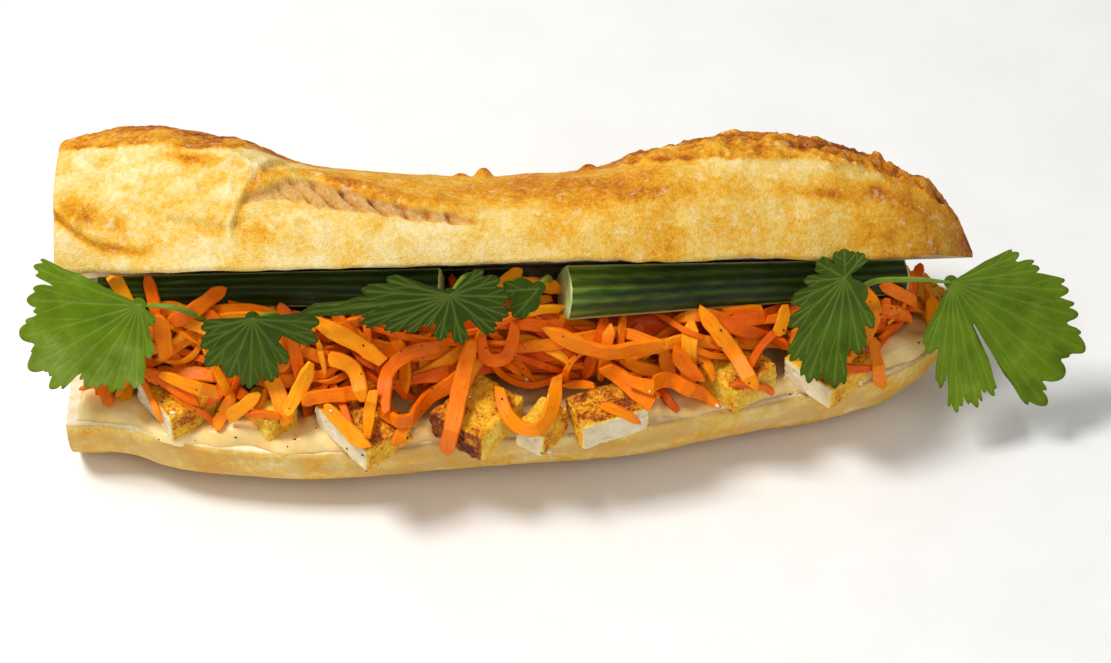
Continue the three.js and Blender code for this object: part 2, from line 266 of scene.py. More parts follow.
def serve(piece, slot, *nodes):
    """The piece is on the sandwich: it rides on it and stands for its plain solids."""
    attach(piece, "root")
    if nodes:
        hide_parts(*nodes)


front_edge = through(
    (CUT_END, -22.3), (-97, -24), (-87, -28.7), (-53, -34.8), (-36, -34.7), (-15, -32.6), (25, -29.1),
    (45, -24.9), (67, -19.2), (81, -15.7), (95, -10.2), (109, 1.1), (TIP, 15.4),
)
back_edge = through(
    (CUT_END, 33), (-85, 37), (0, 38), (60, 36), (90, 31), (109, 23.5), (TIP, 17),
)
lid_height = through(
    (CUT_END, 33.6), (-104, 35.6), (-90, 36.7), (-74, 34.2), (-64, 32), (-55, 27.8), (-40, 25), (-20, 23),
    (5, 22.7), (25, 24.3), (36, 27.3), (46, 29.6), (57, 31.6), (71, 30.3), (81, 28.3), (91, 25.3),
    (102, 20.3), (107, 17.6), (112, 12.7), (116, 6.8), (TIP, 1.6),
)
base_depth = through(
    (CUT_END, 20.6), (60, 20.9), (88, 20.2), (104, 15), (113, 9), (TIP, 1.4),
)
# Places round the lid run from 0 at the back edge, over the crest at 0.5, to 1 at the open edge.
browned_to = through(
    (CUT_END, 0.658), (-101, 0.69), (-92, 0.70), (-84, 0.71), (-76, 0.715), (-67, 0.68), (-60, 0.635),
    (-50, 0.6), (-10, 0.575), (20, 0.58), (30, 0.642), (37.5, 0.689), (46, 0.718), (55, 0.742), (72, 0.738),
    (79.5, 0.752), (87.5, 0.72), (95.5, 0.69), (101.5, 0.69), (107, 0.755), (112, 0.784), (115, 0.806),
    (TIP, 0.9),
)
slash_line = through(
    (-68, 0.87), (-63, 0.854), (-56, 0.824), (-50, 0.817), (-45, 0.831), (-39.6, 0.841), (-32.6, 0.848),
    (-25.6, 0.866), (-18, 0.879), (-6, 0.885),
)
lip_line = through(
    (-68, 0.86), (-63, 0.843), (-57.6, 0.79), (-52.6, 0.742), (-47.1, 0.722), (-42.6, 0.755), (-39.1, 0.768),
    (-34.6, 0.79), (-28.1, 0.818), (-22.6, 0.834), (-14.6, 0.852), (-6, 0.882),
)
flap_foot = through((-95, 0.87), (-86.6, 0.889), (-80, 0.912), (-75, 0.922), (-60, 0.922))
# The crust folded over in the oven at the loaf's left, low on the open side.
fold_line = through((CUT_END, 0.882), (-106, 0.93), (-100.6, 0.957), (-94, 0.967), (-80, 0.975))
# The little torn scabs that stand on the crest: x, place, height and reach.
NUBS = [
    (-6.5, 0.57, 2.4, 2.0), (-12, 0.57, 0.9, 1.8), (19.5, 0.56, 1.5, 2.2), (31, 0.55, 0.8, 3),
    (92.5, 0.61, 2.4, 1.8), (95.8, 0.63, 1.6, 1.4),
]
# Browner spots on the lid: how much, then the middle and reach along x, and the same round the lid.
BROWN_SPOTS = [
    (0.22, 33, 9, 0.81, 0.03), (0.24, 92, 9, 0.8, 0.045), (0.26, 77, 8, 0.848, 0.02),
    (0.22, -105, 6, 0.885, 0.035), (0.34, -76, 5.5, 0.742, 0.024), (0.2, -93, 3, 0.845, 0.012),
]


def lid_features(x, place, around):
    """The lid's relief, how far it is baked with painted shade added in its slash and hollows, and how torn
    it is, from its slashes, ears and nubs.
    """
    wander = 1.6 * grain(around, 7, 5) + 0.7 * grain(around, 2.6, 6)
    above = (browned_to(x) - place) * AROUND + wander
    crest = rise(above, -0.4, 1.2) * rise(place + 0.05 * grain(around, 9, 27), 0.28, 0.5)
    right_ear = crest * rise(x + 8 * grain(around, 11, 9), 18, 38)
    left_ear = crest * (1 - rise(x + 7 * grain(around, 11, 28), -68, -44))
    relief = 1.1 * right_ear + 0.35 * left_ear
    scabs = rough(around * (0.6, 1, 1), 3.2, 7) + 0.7 * rough(around, 1.4, 8)
    relief += (1.3 * right_ear + 0.55 * left_ear) * scabs

    # The open slash: under a swollen golden lip, a torn face of pale fibres that hang down to the right.
    tear = (place - slash_line(x)) * AROUND + 0.6 * grain(around, 3, 11) + 0.5 * grain(around, 1.2, 19)
    lip = (place - lip_line(x)) * AROUND + 0.8 * grain(around, 3, 12) + 0.3 * grain(around, 1.2, 29)
    leaning = x + 0.45 * (place - 0.9) * AROUND + 0.4 * grain(around, 4, 30)
    along = rise(leaning, -66, -65) * (1 - rise(x, -14, -5))
    face = along * rise(lip, -0.4, 0.3) * (1 - rise(tear, -0.2, 0.8))
    relief += along * (1.3 * hump(lip, -3.4, 3.2) * rise(-lip, 0, 0.8) - 1.2 * face)
    hanging = 0.62 * x - 0.42 * place * AROUND + 1.1 * grain(around, 5, 13)
    crossing = 2.3 * hanging + 1.5 * grain(around, 2, 26)
    fibres = 0.65 * np.abs(np.sin(hanging)) + 0.35 * np.abs(np.sin(crossing))
    ragged = face * rise(x, -60, -48)
    threads = ragged * (2.6 * fibres + 0.5 * rough(around, 1.4, 14) - 1.1)
    relief += threads + 0.3 * face * rough(around, 1.6, 31)
    torn = face * (1 - rise(x, -60, -48) * (1 - rise(fibres, 0.2, 0.55)))
    shadowed = face * hump(lip, 0.4, 1.1)

    # The swollen flap left of the slash, with a sharp right edge and a lower edge that thins out.
    flap = rise(x, -92, -80) * (1 - rise(leaning, -66.3, -65.6)) * rise(place, 0.55, 0.74)
    flap *= 1 - rise(place + 0.006 * grain(around, 5, 14), flap_foot(x) - 0.006, flap_foot(x) + 0.003)
    relief += (0.6 + 0.8 * rise(x, -76, -66)) * flap + 0.25 * flap * rough(around, 2.5, 24)

    # The folded roll low at the left end, and a short pinched crease above it.
    roll = (place - fold_line(x)) * AROUND
    at_left = 1 - rise(x, -95, -80)
    relief += at_left * (1.2 * rise(-roll, -0.3, 0.5) * rise(place, 0.78, 0.88) - 0.8 * hump(roll, 0.8, 0.7))
    crease = hump(x + 86 + 0.42 * (place - 0.78) * AROUND, 0, 0.7) * rise(place, 0.69, 0.72)
    crease *= 1 - rise(place, 0.83, 0.86)
    relief -= 0.7 * crease
    for middle, side, height, reach in NUBS:
        spread = ((x - middle) ** 2 + ((place - side) * AROUND) ** 2) / reach**2
        relief += height * np.exp(-spread**1.5)

    relief += 0.55 * grain(around, 17, 15) + 0.3 * grain(around, 7, 16) + 0.07 * grain(around, 2, 17)
    floury = 0.1 + 0.2 * rise(x, -20, 30) * (1 - rise(place, 0.74, 0.86))
    relief += floury * (1 - crest) * rough(around, 2.4, 18)
    flakes = 1 - np.abs(rough(around * (0.8, 1, 1), 6, 36))
    flaky = (1 - rise(x, -62, -30)) * rise(place, 0.66, 0.74) * (1 - rise(place, 0.94, 0.99))
    relief += (0.12 + 0.5 * flaky) * rise(flakes, 0.72, 1) + (0.06 + 0.14 * flaky) * rough(around, 1.6, 25)

    nubs = sum(hump(x, m, 1.1 * r) * hump((place - s) * AROUND, 0, 1.1 * r) for m, s, _, r in NUBS)
    bake_and_shade = 0.24 + 0.07 * grain(around, 14, 20) + 0.05 * grain(around, 4, 21)
    bake_and_shade += 0.14 * rise(x, -10, 25) + 0.14 * rise(x, 70, 100) + 0.16 * rise(x, 108, 117)
    bake_and_shade += 0.2 * hump(place, 0.74, 0.1) * rise(x, -30, 0) * (1 - rise(x, 34, 50))
    for more, at_x, reach_x, side, reach_round in BROWN_SPOTS:
        bake_and_shade += more * hump(x, at_x, reach_x) * hump(place, side, reach_round)
    bake_and_shade -= 0.16 * hump(place, 0.74, 0.05) * rise(x, 34, 50) * (1 - rise(x, 86, 96))
    bake_and_shade -= 0.1 * (1 - rise(x, -92, -78)) * hump(place, 0.8, 0.09)
    top = rise(place, 0.2, 0.36) * (1 - rise(place, 0.55, 0.62))
    bake_and_shade += crest * ((0.25 - 0.12 * rise(x, 82, 95)) * right_ear + 0.42 * left_ear) + 0.16 * top
    bake_and_shade += 0.2 * hump(place, 0.66, 0.11) * rise(x, -54, -40) * (1 - rise(x, 0, 24))
    # The nubs are browner crust; the ears' scabs are painted browner where they sink and paler where they
    # stand out, as painted shade and light.
    bake_and_shade += 0.36 * np.clip(nubs, 0, 1) * (1 - right_ear) - (0.26 * right_ear + 0.2 * left_ear) * scabs
    bake_and_shade += 0.22 * hump(leaning, -65.3, 0.9) * rise(place, 0.6, 0.7) * (1 - rise(place, 0.91, 0.93))
    bake_and_shade += 0.12 * flaky * (hump(flakes, 0.55, 0.2) - 0.4 * rise(flakes, 0.8, 1))
    bake_and_shade += at_left * (0.34 * hump(roll, 0.1, 0.8) + 0.12 * hump(roll, -3, 3))
    # The golden lip is the crust's own colour; the browning just under the lip and in the crevices between
    # the torn fibres is painted shade.
    bake_and_shade += 0.24 * along * hump(lip, -3.2, 3.6) + 0.22 * shadowed + 0.5 * ragged * (1 - fibres)
    bake_and_shade -= 0.2 * (1 - rise(place, 0.02, 0.16))
    return relief, bake_and_shade, np.clip(torn, 0, 1)


def base_features(x, place, around):
    """The lower half's relief, how far it is baked, and how torn it is."""
    relief = 0.5 * grain(around, 15, 30) + 0.25 * grain(around, 6, 31) + 0.06 * grain(around, 2, 32)
    under = hump(place, 0.5, 0.3)
    bake_and_shade = 0.28 + 0.2 * under + 0.1 * rise(x, 80, 112)
    bake_and_shade += 0.08 * grain(around, 9, 33) + 0.06 * grain(around, 3, 34)
    streaks = 0.6 * rise(grain(around * (0.3, 1, 1), 3.4, 35) + 0.4 * grain(around, 2, 37), -0.5, 0.6)
    return relief, bake_and_shade, streaks


def crumb_pores(points, seed):
    """How deep the open crumb's holes go, in millimetres."""
    large = 1.7 * rise(grain(points, 5.2, seed), 0.3, 0.62)
    small = 0.7 * rise(grain(points, 2.4, seed + 1), 0.3, 0.7)
    return large + small + 0.3 * (1 + rough(points, 1.2, seed + 2))


def half_loaf(up, depth, features, step, crust_points, face_points):
    """Rings of one half, with its cut face at height 0, and where it is baked (with any painted shade), crumb
    and torn.
    """
    x = np.concatenate([np.arange(CUT_END, TIP - NOSE, step), np.linspace(TIP - NOSE, TIP, 14)])[:, None]
    front, back = front_edge(x), back_edge(x)
    middle, half = (front + back) / 2, (back - front) / 2
    place = np.linspace(0, 1, crust_points)[None, :]
    cosine, sine = np.cos(np.pi * place), np.sin(np.pi * place)
    across = np.sign(cosine) * np.abs(cosine) ** SQUARENESS
    out = np.abs(sine) ** SQUARENESS
    around = stack(x, middle + half * across, up * depth(x) * out)
    relief, bake_and_shade, torn = features(x + 0 * place, place + 0 * x, around)
    lift = relief * np.minimum(1, 4 * sine) * rise(TIP - x, 0, 5)
    crust = stack(x, middle + (half + lift) * across, up * (depth(x) + lift) * out)
    share = np.linspace(0, 1, face_points + 2)[None, 1:-1]
    face = stack(x, front + (back - front) * share, 0 * x * share)
    edge = np.minimum(1, 5 * np.minimum(share, 1 - share)) * rise(TIP - x, 1, 12)
    face[..., 2] = up * edge * np.minimum(crumb_pores(face, 40), 0.3 * depth(x))
    along_cut = stack(x, 0, up * 9)
    waves = 0.9 * grain(along_cut, 13, 41) + 0.4 * grain(along_cut, 4, 42)
    waves = up * waves * rise(TIP - x, 0, 12)
    crust[..., 2] += waves * rise(place, 0.86, 1)
    face[..., 2] += waves * (1 - rise(share, 0, 0.25))
    rings = np.concatenate([crust, face], axis=1)

    # The left end, where the loaf was cut across, closes towards its middle.
    centre = rings[0].mean(axis=0)
    shares = np.linspace(0, 1, 17)[1:-1]
    end = centre + (rings[0] - centre) * shares[:, None, None]
    end[..., 0] = CUT_END + crumb_pores(end, 50) * np.minimum(1, 6 * (1 - shares[:, None]))
    paint = []
    for on_crust, on_cuts in ((bake_and_shade, 0.0), (0 * bake_and_shade, 1.0), (torn, 0.0)):
        values = np.full((len(end) + len(rings), rings.shape[1]), on_cuts)
        values[len(end):, :crust_points] = on_crust
        paint.append(values)
    return np.concatenate([end, rings]), paint


def close_ends(rings):
    """A grid of rings as points and faces, closed with a fan over each end."""
    rows, around = rings.shape[:2]
    points = np.concatenate([rings.reshape(-1, 3), rings[:1].mean(axis=1), rings[-1:].mean(axis=1)])
    faces = tube_faces(rows, around)
    first, last = rows * around, rows * around + 1
    edge = (rows - 1) * around
    for j in range(around):
        nxt = (j + 1) % around
        faces.append([first, nxt, j])
        faces.append([last, edge + j, edge + nxt])
    return points, faces


def with_ends(values):
    return np.concatenate([values.ravel(), values[:1].mean(axis=1), values[-1:].mean(axis=1)])


def fold_back(points):
    """Swings points of the closed lid, measured from the cut, back about the hinge."""
    x, y, z = np.moveaxis(points, -1, 0)
    forward = HINGE - y
    return stack(
        x,
        HINGE - forward * math.cos(OPENING) + z * math.sin(OPENING),
        CUT_HEIGHT + forward * math.sin(OPENING) + z * math.cos(OPENING),
    )


def mix(tree, share, first, second):
    node = add(tree, "Mix", data_type="RGBA")
    for slot, value in zip((0, 6, 7), (share, first, second)):
        if isinstance(value, bpy.types.NodeSocket):
            tree.links.new(value, node.inputs[slot])
        else:
            node.inputs[slot].default_value = value
    return node.outputs[2]


def sums(tree, operation, first, second):
    return add(tree, "Math", {0: first, 1: second}, operation=operation, use_clamp=False).outputs[0]


def bumps(tree, shader, height, depth, strength=1.0):
    """Relief in the finish itself, `depth` deep."""
    node = add(tree, "Bump", {"Height": height, "Distance": depth * MM, "Strength": strength})
    tree.links.new(node.outputs["Normal"], shader.inputs["Normal"])


def painted(tree, label):
    """A value painted on the points of the mesh."""
    return add(tree, "Attribute", attribute_name=label).outputs["Fac"]


def varied(tree, value, noise, share):
    """The value swung up and down by noise that lies about a half."""
    swing = sums(tree, "MULTIPLY", sums(tree, "SUBTRACT", noise, 0.5), share)
    return sums(tree, "ADD", value, swing)


def mask(tree, value, none_at, all_at):
    """0 where the value is at `none_at`, 1 where it is at `all_at`, and straight between them."""
    return ramp(tree, value, *sorted([(none_at, (0, 0, 0, 1)), (all_at, (1, 1, 1, 1))]))


crust_finish, tree, shader = finish("baked_crust", Roughness=0.75, Specular_IOR_Level=0.2)
# How far the crust is baked, together with the shade painted into the slash and among the ears' scabs.
bake_and_shade_value = painted(tree, "bake_and_shade")
crumb_value = painted(tree, "crumb")
torn_value = painted(tree, "torn")
fine = speckle(tree, 1.2, 6, 0.8)
mottle = speckle(tree, 7, 5, 0.65)
toast_and_shade = varied(tree, varied(tree, bake_and_shade_value, fine, 0.85), mottle, 0.6)
crust_colour = ramp(
    tree, toast_and_shade,
    (0.0, colour(246, 228, 184)), (0.16, colour(238, 212, 144)), (0.3, colour(232, 194, 98)),
    (0.44, colour(230, 168, 40)), (0.58, colour(214, 140, 18)), (0.74, colour(182, 98, 4)),
    (0.9, colour(126, 60, 8)), (1.0, colour(86, 40, 12)),
)
flour = mask(tree, speckle(tree, 3.2, 5, 0.7), 0.58, 0.66)
blisters = add(tree, "TexVoronoi", {"Scale": 1 / (4.2 * MM)}).outputs["Distance"]
blisters = mask(tree, sums(tree, "ADD", blisters, sums(tree, "MULTIPLY", fine, 0.3)), 0.34, 0.28)
pale_spots = sums(tree, "MAXIMUM", sums(tree, "MULTIPLY", flour, 0.45), sums(tree, "MULTIPLY", blisters, 0.5))
crust_colour = mix(tree, pale_spots, crust_colour, colour(250, 224, 180))
torn_colour = ramp(tree, fine, (0.3, colour(178, 124, 58)), (0.7, colour(230, 188, 116)))
crust_colour = mix(tree, torn_value, crust_colour, torn_colour)
crumb_colour = ramp(
    tree, speckle(tree, 2.2, 4, 0.6), (0.3, colour(238, 216, 172)), (0.65, colour(252, 240, 214)),
)
coat(tree, shader, mix(tree, crumb_value, crust_colour, crumb_colour))
relief = sums(tree, "ADD", sums(tree, "MULTIPLY", fine, 0.6), speckle(tree, 0.5, 2, 0.5))
bumps(tree, shader, relief, 0.32, 0.8)

STEP = 0.55
lid_rings, lid_paint = half_loaf(1, lid_height, lid_features, STEP, crust_points=150, face_points=56)
base_rings, base_paint = half_loaf(
    -1, base_depth, base_features, 1.3 * STEP, crust_points=80, face_points=44,
)
base_rings[..., 2] += CUT_HEIGHT
base_rings[..., 2] = np.maximum(base_rings[..., 2], 0)
halves = []
for name, rings, values in (
    ("baked_loaf", fold_back(lid_rings), lid_paint),
    ("lower_half", base_rings, base_paint),
):
    points, faces = close_ends(rings)
    paint = dict(zip(("bake_and_shade", "crumb", "torn"), map(with_ends, values)))
    halves.append(make_piece(name, points, faces, crust_finish, paint))
loaf, lower_half = halves
join = loaf.modifiers.new("join", "BOOLEAN")
join.operation = "UNION"
join.solver = "MANIFOLD"
join.object = lower_half
joined = bpy.data.meshes.new_from_object(loaf.evaluated_get(bpy.context.evaluated_depsgraph_get()))
loaf.modifiers.clear()
loaf.data = joined
loaf.data.shade_smooth()
bpy.data.objects.remove(lower_half)
serve(loaf, "crust", "loaf")

# ---- The mayonnaise ----
# A thick coat of egg mayonnaise with ground pepper in it, knifed over the lower cut face.
# It is pressed thin under the tofu and left in smooth glossy waves between the slices.
SPREAD_FROM = CUT_END + 3
SPREAD_TO = TIP - 8
SPREAD_BACK = HINGE - 13
SPREAD_ROUNDING = 2.2  # how far in from its edge it reaches full thickness

mayonnaise_finish, tree, shader = finish(
    "mayonnaise", Roughness=0.3, Subsurface_Weight=0.12, Subsurface_Scale=0.001, Specular_IOR_Level=0.4,
)
cream = speckle(tree, 7, 3, 0.5)
cream_colour = ramp(tree, cream, (0.3, colour(238, 194, 108)), (0.7, colour(252, 226, 160)))
peppered = add(tree, "TexVoronoi", {"Scale": 1 / (3.6 * MM)}).outputs["Distance"]
pepper = mask(tree, peppered, 0.1, 0.075)
coat(
    tree, shader,
    mix(tree, sums(tree, "MULTIPLY", pepper, 0.75), cream_colour, colour(96, 70, 40)),
)
bumps(tree, shader, speckle(tree, 3.2, 3, 0.5), 0.6, 0.7)

x = np.arange(SPREAD_FROM, SPREAD_TO, 0.7)[:, None]
share = np.linspace(0, 1, 56)[None, :] ** 1.8
edge = front_edge(x) + 1.2 + 0.9 * np.sin(x * 0.31) * np.sin(x * 0.13)
edge = edge + 1.6 * grain(stack(x, 0, 0), 9, 63) + 0.7 * grain(stack(x, 0, 0), 3, 60)
y = edge + (SPREAD_BACK - edge) * share
place = stack(x, y, 0)
thickness = 2.0 + 1.3 * np.abs(grain(place, 11, 61)) ** 0.8 * 1.6 - 0.6 + 0.6 * grain(place, 3.6, 62)
for at_x, at_y, swell, reach in (
    (97, -3, 2.6, 7), (-72, -26, 1.8, 7), (-66, -31, 1.4, 4),
    (-47, -30, 1.2, 6), (-20, -31, 1.0, 5), (64, -17, 1.3, 6),
):
    thickness += swell * hump(x, at_x, reach) * hump(y, at_y, 5)
inward = np.minimum((y - edge) / SPREAD_ROUNDING, 1)
from_ends = np.minimum(np.minimum(x - SPREAD_FROM, SPREAD_TO - x) / 2.5 + 0.1, 1)
rounded = np.sqrt(inward * (2 - inward) * from_ends)
top = stack(x, y, CUT_HEIGHT - 0.3 + np.maximum(thickness + 0.4, 0.9) * rounded)
bottom = stack(x, y, CUT_HEIGHT - 0.8)[:, ::-8]
points, faces = close_ends(np.concatenate([top, bottom], axis=1))
serve(make_piece("mayonnaise_waves", points, faces, mayonnaise_finish), "spread", "mayonnaise")

# ---- The tofu ----
# Slices of firm white tofu seared in oil until the outside is crisp and grainy, then cut to corners.
# Each slice lies on the mayonnaise with one corner pointing out of the loaf.
TOFU_THICKNESS = 8.5
TOFU_ROUNDING = 1.2
TOFU_CUTS = 44
# The outer corner's x and y, the turn of the left side, the left and right sides' lengths, the tip outwards,
# and how far the left side, the right side and the top are seared.
TOFU = [
    (-84, -31, 123, 18, 15, 4, 0, 0.62, 0.66),
    (-60.2, -32.8, 130, 12, 9.5, 5, 0.5, 0.55, 0.5),
    (-36.5, -43.4, 130, 20, 15, 6, 0, 0.6, 0.74),
    (-8.5, -40.8, 143, 16, 18, 5, 0.9, 0.42, 0.6),
    (6.3, -40.2, 144, 8.5, 11.5, 5, 0.05, 0.6, 0.45),
    (16, -37.6, 109, 12, 18, 4, 0.62, 0, 0.74),
    (54.2, -26.2, 130, 14, 15, 4, 0.55, 0.5, 0.62),
    (77.7, -25.6, 135, 16, 17, 5, 0, 0.55, 0.66),
    (106.5, 3, 125, 12, 7.5, 3, 0.6, 0.55, 0.6),
]

tofu_finish, tree, shader = finish(
    "seared_tofu", Roughness=0.5, Specular_IOR_Level=0.3, Subsurface_Weight=0.12, Subsurface_Scale=0.001,
)
sear = painted(tree, "sear")
crisp = speckle(tree, 0.9, 4, 0.7)
patches = speckle(tree, 4.5, 3, 0.6)
skin = varied(tree, varied(tree, sear, crisp, 1.1), patches, 0.7)
skin_colour = ramp(
    tree, skin,
    (0.12, colour(252, 226, 128)), (0.42, colour(248, 204, 50)), (0.66, colour(236, 160, 12)),
    (0.8, colour(180, 88, 4)), (1.0, colour(92, 36, 4)),
)
white = ramp(tree, patches, (0.3, colour(240, 214, 166)), (0.7, colour(254, 240, 206)))
seared = add(tree, "MapRange", {"Value": sear, "From Min": 0.04, "From Max": 0.2}, clamp=True)
coat(tree, shader, mix(tree, seared.outputs[0], white, skin_colour))
bumps(tree, shader, sums(tree, "ADD", crisp, speckle(tree, 0.35, 2, 0.5)), 0.45, 0.9)


def block(cuts):
    """A cube's skin from -1 to 1, cut into a grid, as points and quads."""
    u, v = np.meshgrid(np.arange(cuts + 1), np.arange(cuts + 1), indexing="ij")
    sides = [np.roll([0 * u + end, u, v], axis, axis=0) for axis in range(3) for end in (0, cuts)]
    corners = np.concatenate([np.moveaxis(side, 0, -1).reshape(-1, 3) for side in sides])
    cells, index = np.unique(corners, axis=0, return_inverse=True)
    index = index.reshape(6, cuts + 1, cuts + 1)
    quads = np.stack([index[:, :-1, :-1], index[:, 1:, :-1], index[:, 1:, 1:], index[:, :-1, 1:]], -1)
    return cells / cuts * 2 - 1, quads.reshape(-1, 4).tolist()


def turned(points, degrees, axis):
    """Points turned about an axis through the origin."""
    return points @ np.array(Matrix.Rotation(math.radians(degrees), 3, Vector(axis))).T


cube, cube_faces = block(TOFU_CUTS)
for number, (x, y, turn, left, right, tip, left_sear, right_sear, top_sear) in enumerate(TOFU, 1):
    half = np.array([left, right, TOFU_THICKNESS]) / 2
    eased = np.sign(cube) * (1 - (1 - np.abs(cube)) ** 1.5)
    points = eased * half
    rounding = TOFU_ROUNDING * (1 + 0.4 * grain(points + 40 * number, 5, 70)[:, None])
    inner = np.clip(points, rounding - half, half - rounding)
    corner = points - inner
    outward = corner / np.linalg.norm(corner, axis=1, keepdims=True).clip(1e-6)
    points = inner + outward * rounding
    around = points + 57 * number
    bulge = 0.45 * grain(around, 6, 71) - 0.2
    facing = outward ** 4
    facing /= facing.sum(axis=1, keepdims=True).clip(1e-6)
    front_sear = np.where(outward[:, 1] > 0, left_sear, 0.5)
    side_sear = np.where(outward[:, 0] < 0, right_sear, 0.5)
    sear = facing[:, 1] * front_sear + facing[:, 0] * side_sear + facing[:, 2] * top_sear
    browned = np.clip(sear * 2.5, 0, 1)
    grains = 0.5 * rough(around, 1.9, 72) + 0.2 * grain(around, 0.8, 73)
    pits = 0.25 * rough(around, 2.4, 76) - 0.3 * rise(grain(around, 1.3, 74), 0.3, 0.7)
    points = points + outward * (bulge + browned * grains + (1 - browned) * pits)[:, None]
    sear = np.where(sear > 0.05, sear + 0.16 * grain(around, 3, 75), sear)
    points += np.array([left, -right, TOFU_THICKNESS]) / 2
    points = turned(turned(points, -tip, (1, 1, 0)), turn, (0, 0, 1))
    points += np.array([x, y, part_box(f"tofu_{number}")[0].z / MM - points[:, 2].min()])
    piece = make_piece(f"tofu_slice_{number}", points, cube_faces, tofu_finish, {"sear": sear})
    serve(piece, "tofu", f"tofu_{number}")

# ---- The cucumber ----
# Sticks cut lengthways from a ribbed, thin-skinned cucumber, tucked up against the lid with the skin outside.
# Each keeps a curved strip of dark skin; its other sides and its ends are pale, wet flesh.
CUCUMBER_STEPS = 170
SKIN_SWELL = 0.3  # how far the skin bulges, as a share of the stick's thickness
# Both ends as x, forward from the hinge, under the lid; the thickness at both; and the depth behind the skin.
CUCUMBERS = [
    ((13.5, 55.5, 0.5), (98, 35.5, 0.5), 13.2, 8.6, 10),
    ((-101, 49, 0.5), (-18, 57, 0.5), 7, 9.5, 10),
    ((-72, 37, 0.5), (2, 44, 0.5), 10.5, 9.5, 9),
]
# The cut sides behind the skin, from its lower edge round to its upper: shares of the depth and thickness.
CUT_SIDES = np.array([
    (-0.35, 0.97), (-0.8, 0.86), (-1, 0.78), (-1, 0.5), (-1, 0.22), (-0.8, 0.14), (-0.35, 0.03),
])
# The rings that close an end: the share of the outline each keeps, and how far it stands out.
END_RINGS = np.array([(0.995, 0.25), (0.97, 0.4), (0.9, 0.45), (0.72, 0.42), (0.5, 0.36), (0.28, 0.3)])

cucumber_finish, tree, shader = finish(
    "cucumber", Roughness=0.34, Specular_IOR_Level=0.22, Subsurface_Weight=0.06, Subsurface_Scale=0.0015,
)
coords = add(tree, "TexCoord").outputs["Object"]
skin_value = painted(tree, "skin")
# The rib value carries the skin's ribs and the light painted along it.
rib_and_light_value = painted(tree, "rib_and_light")
stretched = add(tree, "Mapping", {"Vector": coords, "Scale": (0.07, 1, 1)}).outputs["Vector"]
streaks = add(tree, "TexNoise", {"Vector": stretched, "Scale": 1 / (1.3 * MM), "Detail": 3.0}).outputs["Fac"]
tint = sums(tree, "ADD", sums(tree, "MULTIPLY", rib_and_light_value, 0.5), sums(tree, "MULTIPLY", streaks, 0.6))
skin_colour = ramp(
    tree, tint,
    (0.25, colour(18, 30, 2)), (0.5, colour(34, 52, 4)), (0.75, colour(62, 84, 14)),
    (1.0, colour(112, 132, 40)),
)
flesh = ramp(tree, speckle(tree, 2.5, 3, 0.5), (0.3, colour(176, 192, 110)), (0.7, colour(212, 220, 156)))
coat(tree, shader, mix(tree, skin_value, flesh, skin_colour))
bumps(tree, shader, sums(tree, "ADD", streaks, speckle(tree, 0.6, 2, 0.5)), 0.12, 0.5)


def under_lid(x, forward, under):
    """A point under the folded lid: `forward` from the hinge along its cut face, and `under` that face."""
    return fold_back(np.array([x, HINGE - forward, -under], float))


down = under_lid(0, 0, 1) - under_lid(0, 0, 0)
for number, (start, end, thick_start, thick_end, deep) in enumerate(CUCUMBERS, 1):
    start, end = under_lid(*start), under_lid(*end)
    length = np.linalg.norm(end - start)
    axis = (end - start) / length
    out = np.cross(down, axis)
    out /= np.linalg.norm(out)
    travel = np.linspace(0, 1, CUCUMBER_STEPS)[:, None]
    height = thick_start + (thick_end - thick_start) * travel
    arc = np.linspace(0, 1, 41)[None, :]
    ribs = 0.17 * np.cos(arc * 4.5 * np.pi * 2 + 1.4 * grain(stack(travel * length, 0 * arc, number), 26, 80))
    swell = SKIN_SWELL * height * np.sin(np.pi * arc) + ribs * np.sin(np.pi * arc)
    swell = swell + 0.3 * grain(stack(travel * length, arc * 9, number * 9), 13, 81)
    forward = np.concatenate([swell, deep * CUT_SIDES[:, 0] + 0 * travel], axis=1)
    below = np.concatenate([arc * height, CUT_SIDES[:, 1] * height], axis=1)
    wobble = 0.2 * grain(stack(travel * length, forward, below) + 9 * number, 5, 82)
    rings = start + axis * (travel * length)[:, :, None]
    rings = rings + out * (forward + wobble)[:, :, None] + down * below[:, :, None]
    cut = np.zeros((CUCUMBER_STEPS, len(CUT_SIDES)))
    skin = np.concatenate([np.minimum(1, 30 * np.minimum(arc, 1 - arc)) + 0 * travel, cut], axis=1)
    # Painted light: the skin is lighter over the first third of the stick, where light falls on it, and a
    # painted highlight runs along its edge next to the lid.
    painted_light = 0.6 * (1 - rise(travel, 0, 0.34)) + 0.3 * hump(arc, 0.1, 0.1)
    rib_and_light = np.concatenate([0.33 + 1.8 * ribs + painted_light, cut], axis=1)
    caps = []
    inset, standing_out = END_RINGS.T[:, :, None, None]
    for row, way in ((rings[0], -1), (rings[-1], 1)):
        centre = row.mean(axis=0)
        cap = centre + (row - centre) * inset + axis * way * standing_out
        cap += axis * (0.12 * grain(cap, 1.6, 83))[:, :, None]
        caps.append(cap)
    rings = np.concatenate([caps[0][::-1], rings, caps[1]])
    bare = np.zeros((len(END_RINGS), rings.shape[1]))
    paint = {
        "skin": with_ends(np.concatenate([bare, skin, bare])),
        "rib_and_light": with_ends(np.concatenate([bare, rib_and_light, bare])),
    }
    points, faces = close_ends(rings)
    stick = make_piece(f"cucumber_stick_{number}", points, faces, cucumber_finish, paint)
    serve(stick, "cucumber", f"cucumber_{number}")

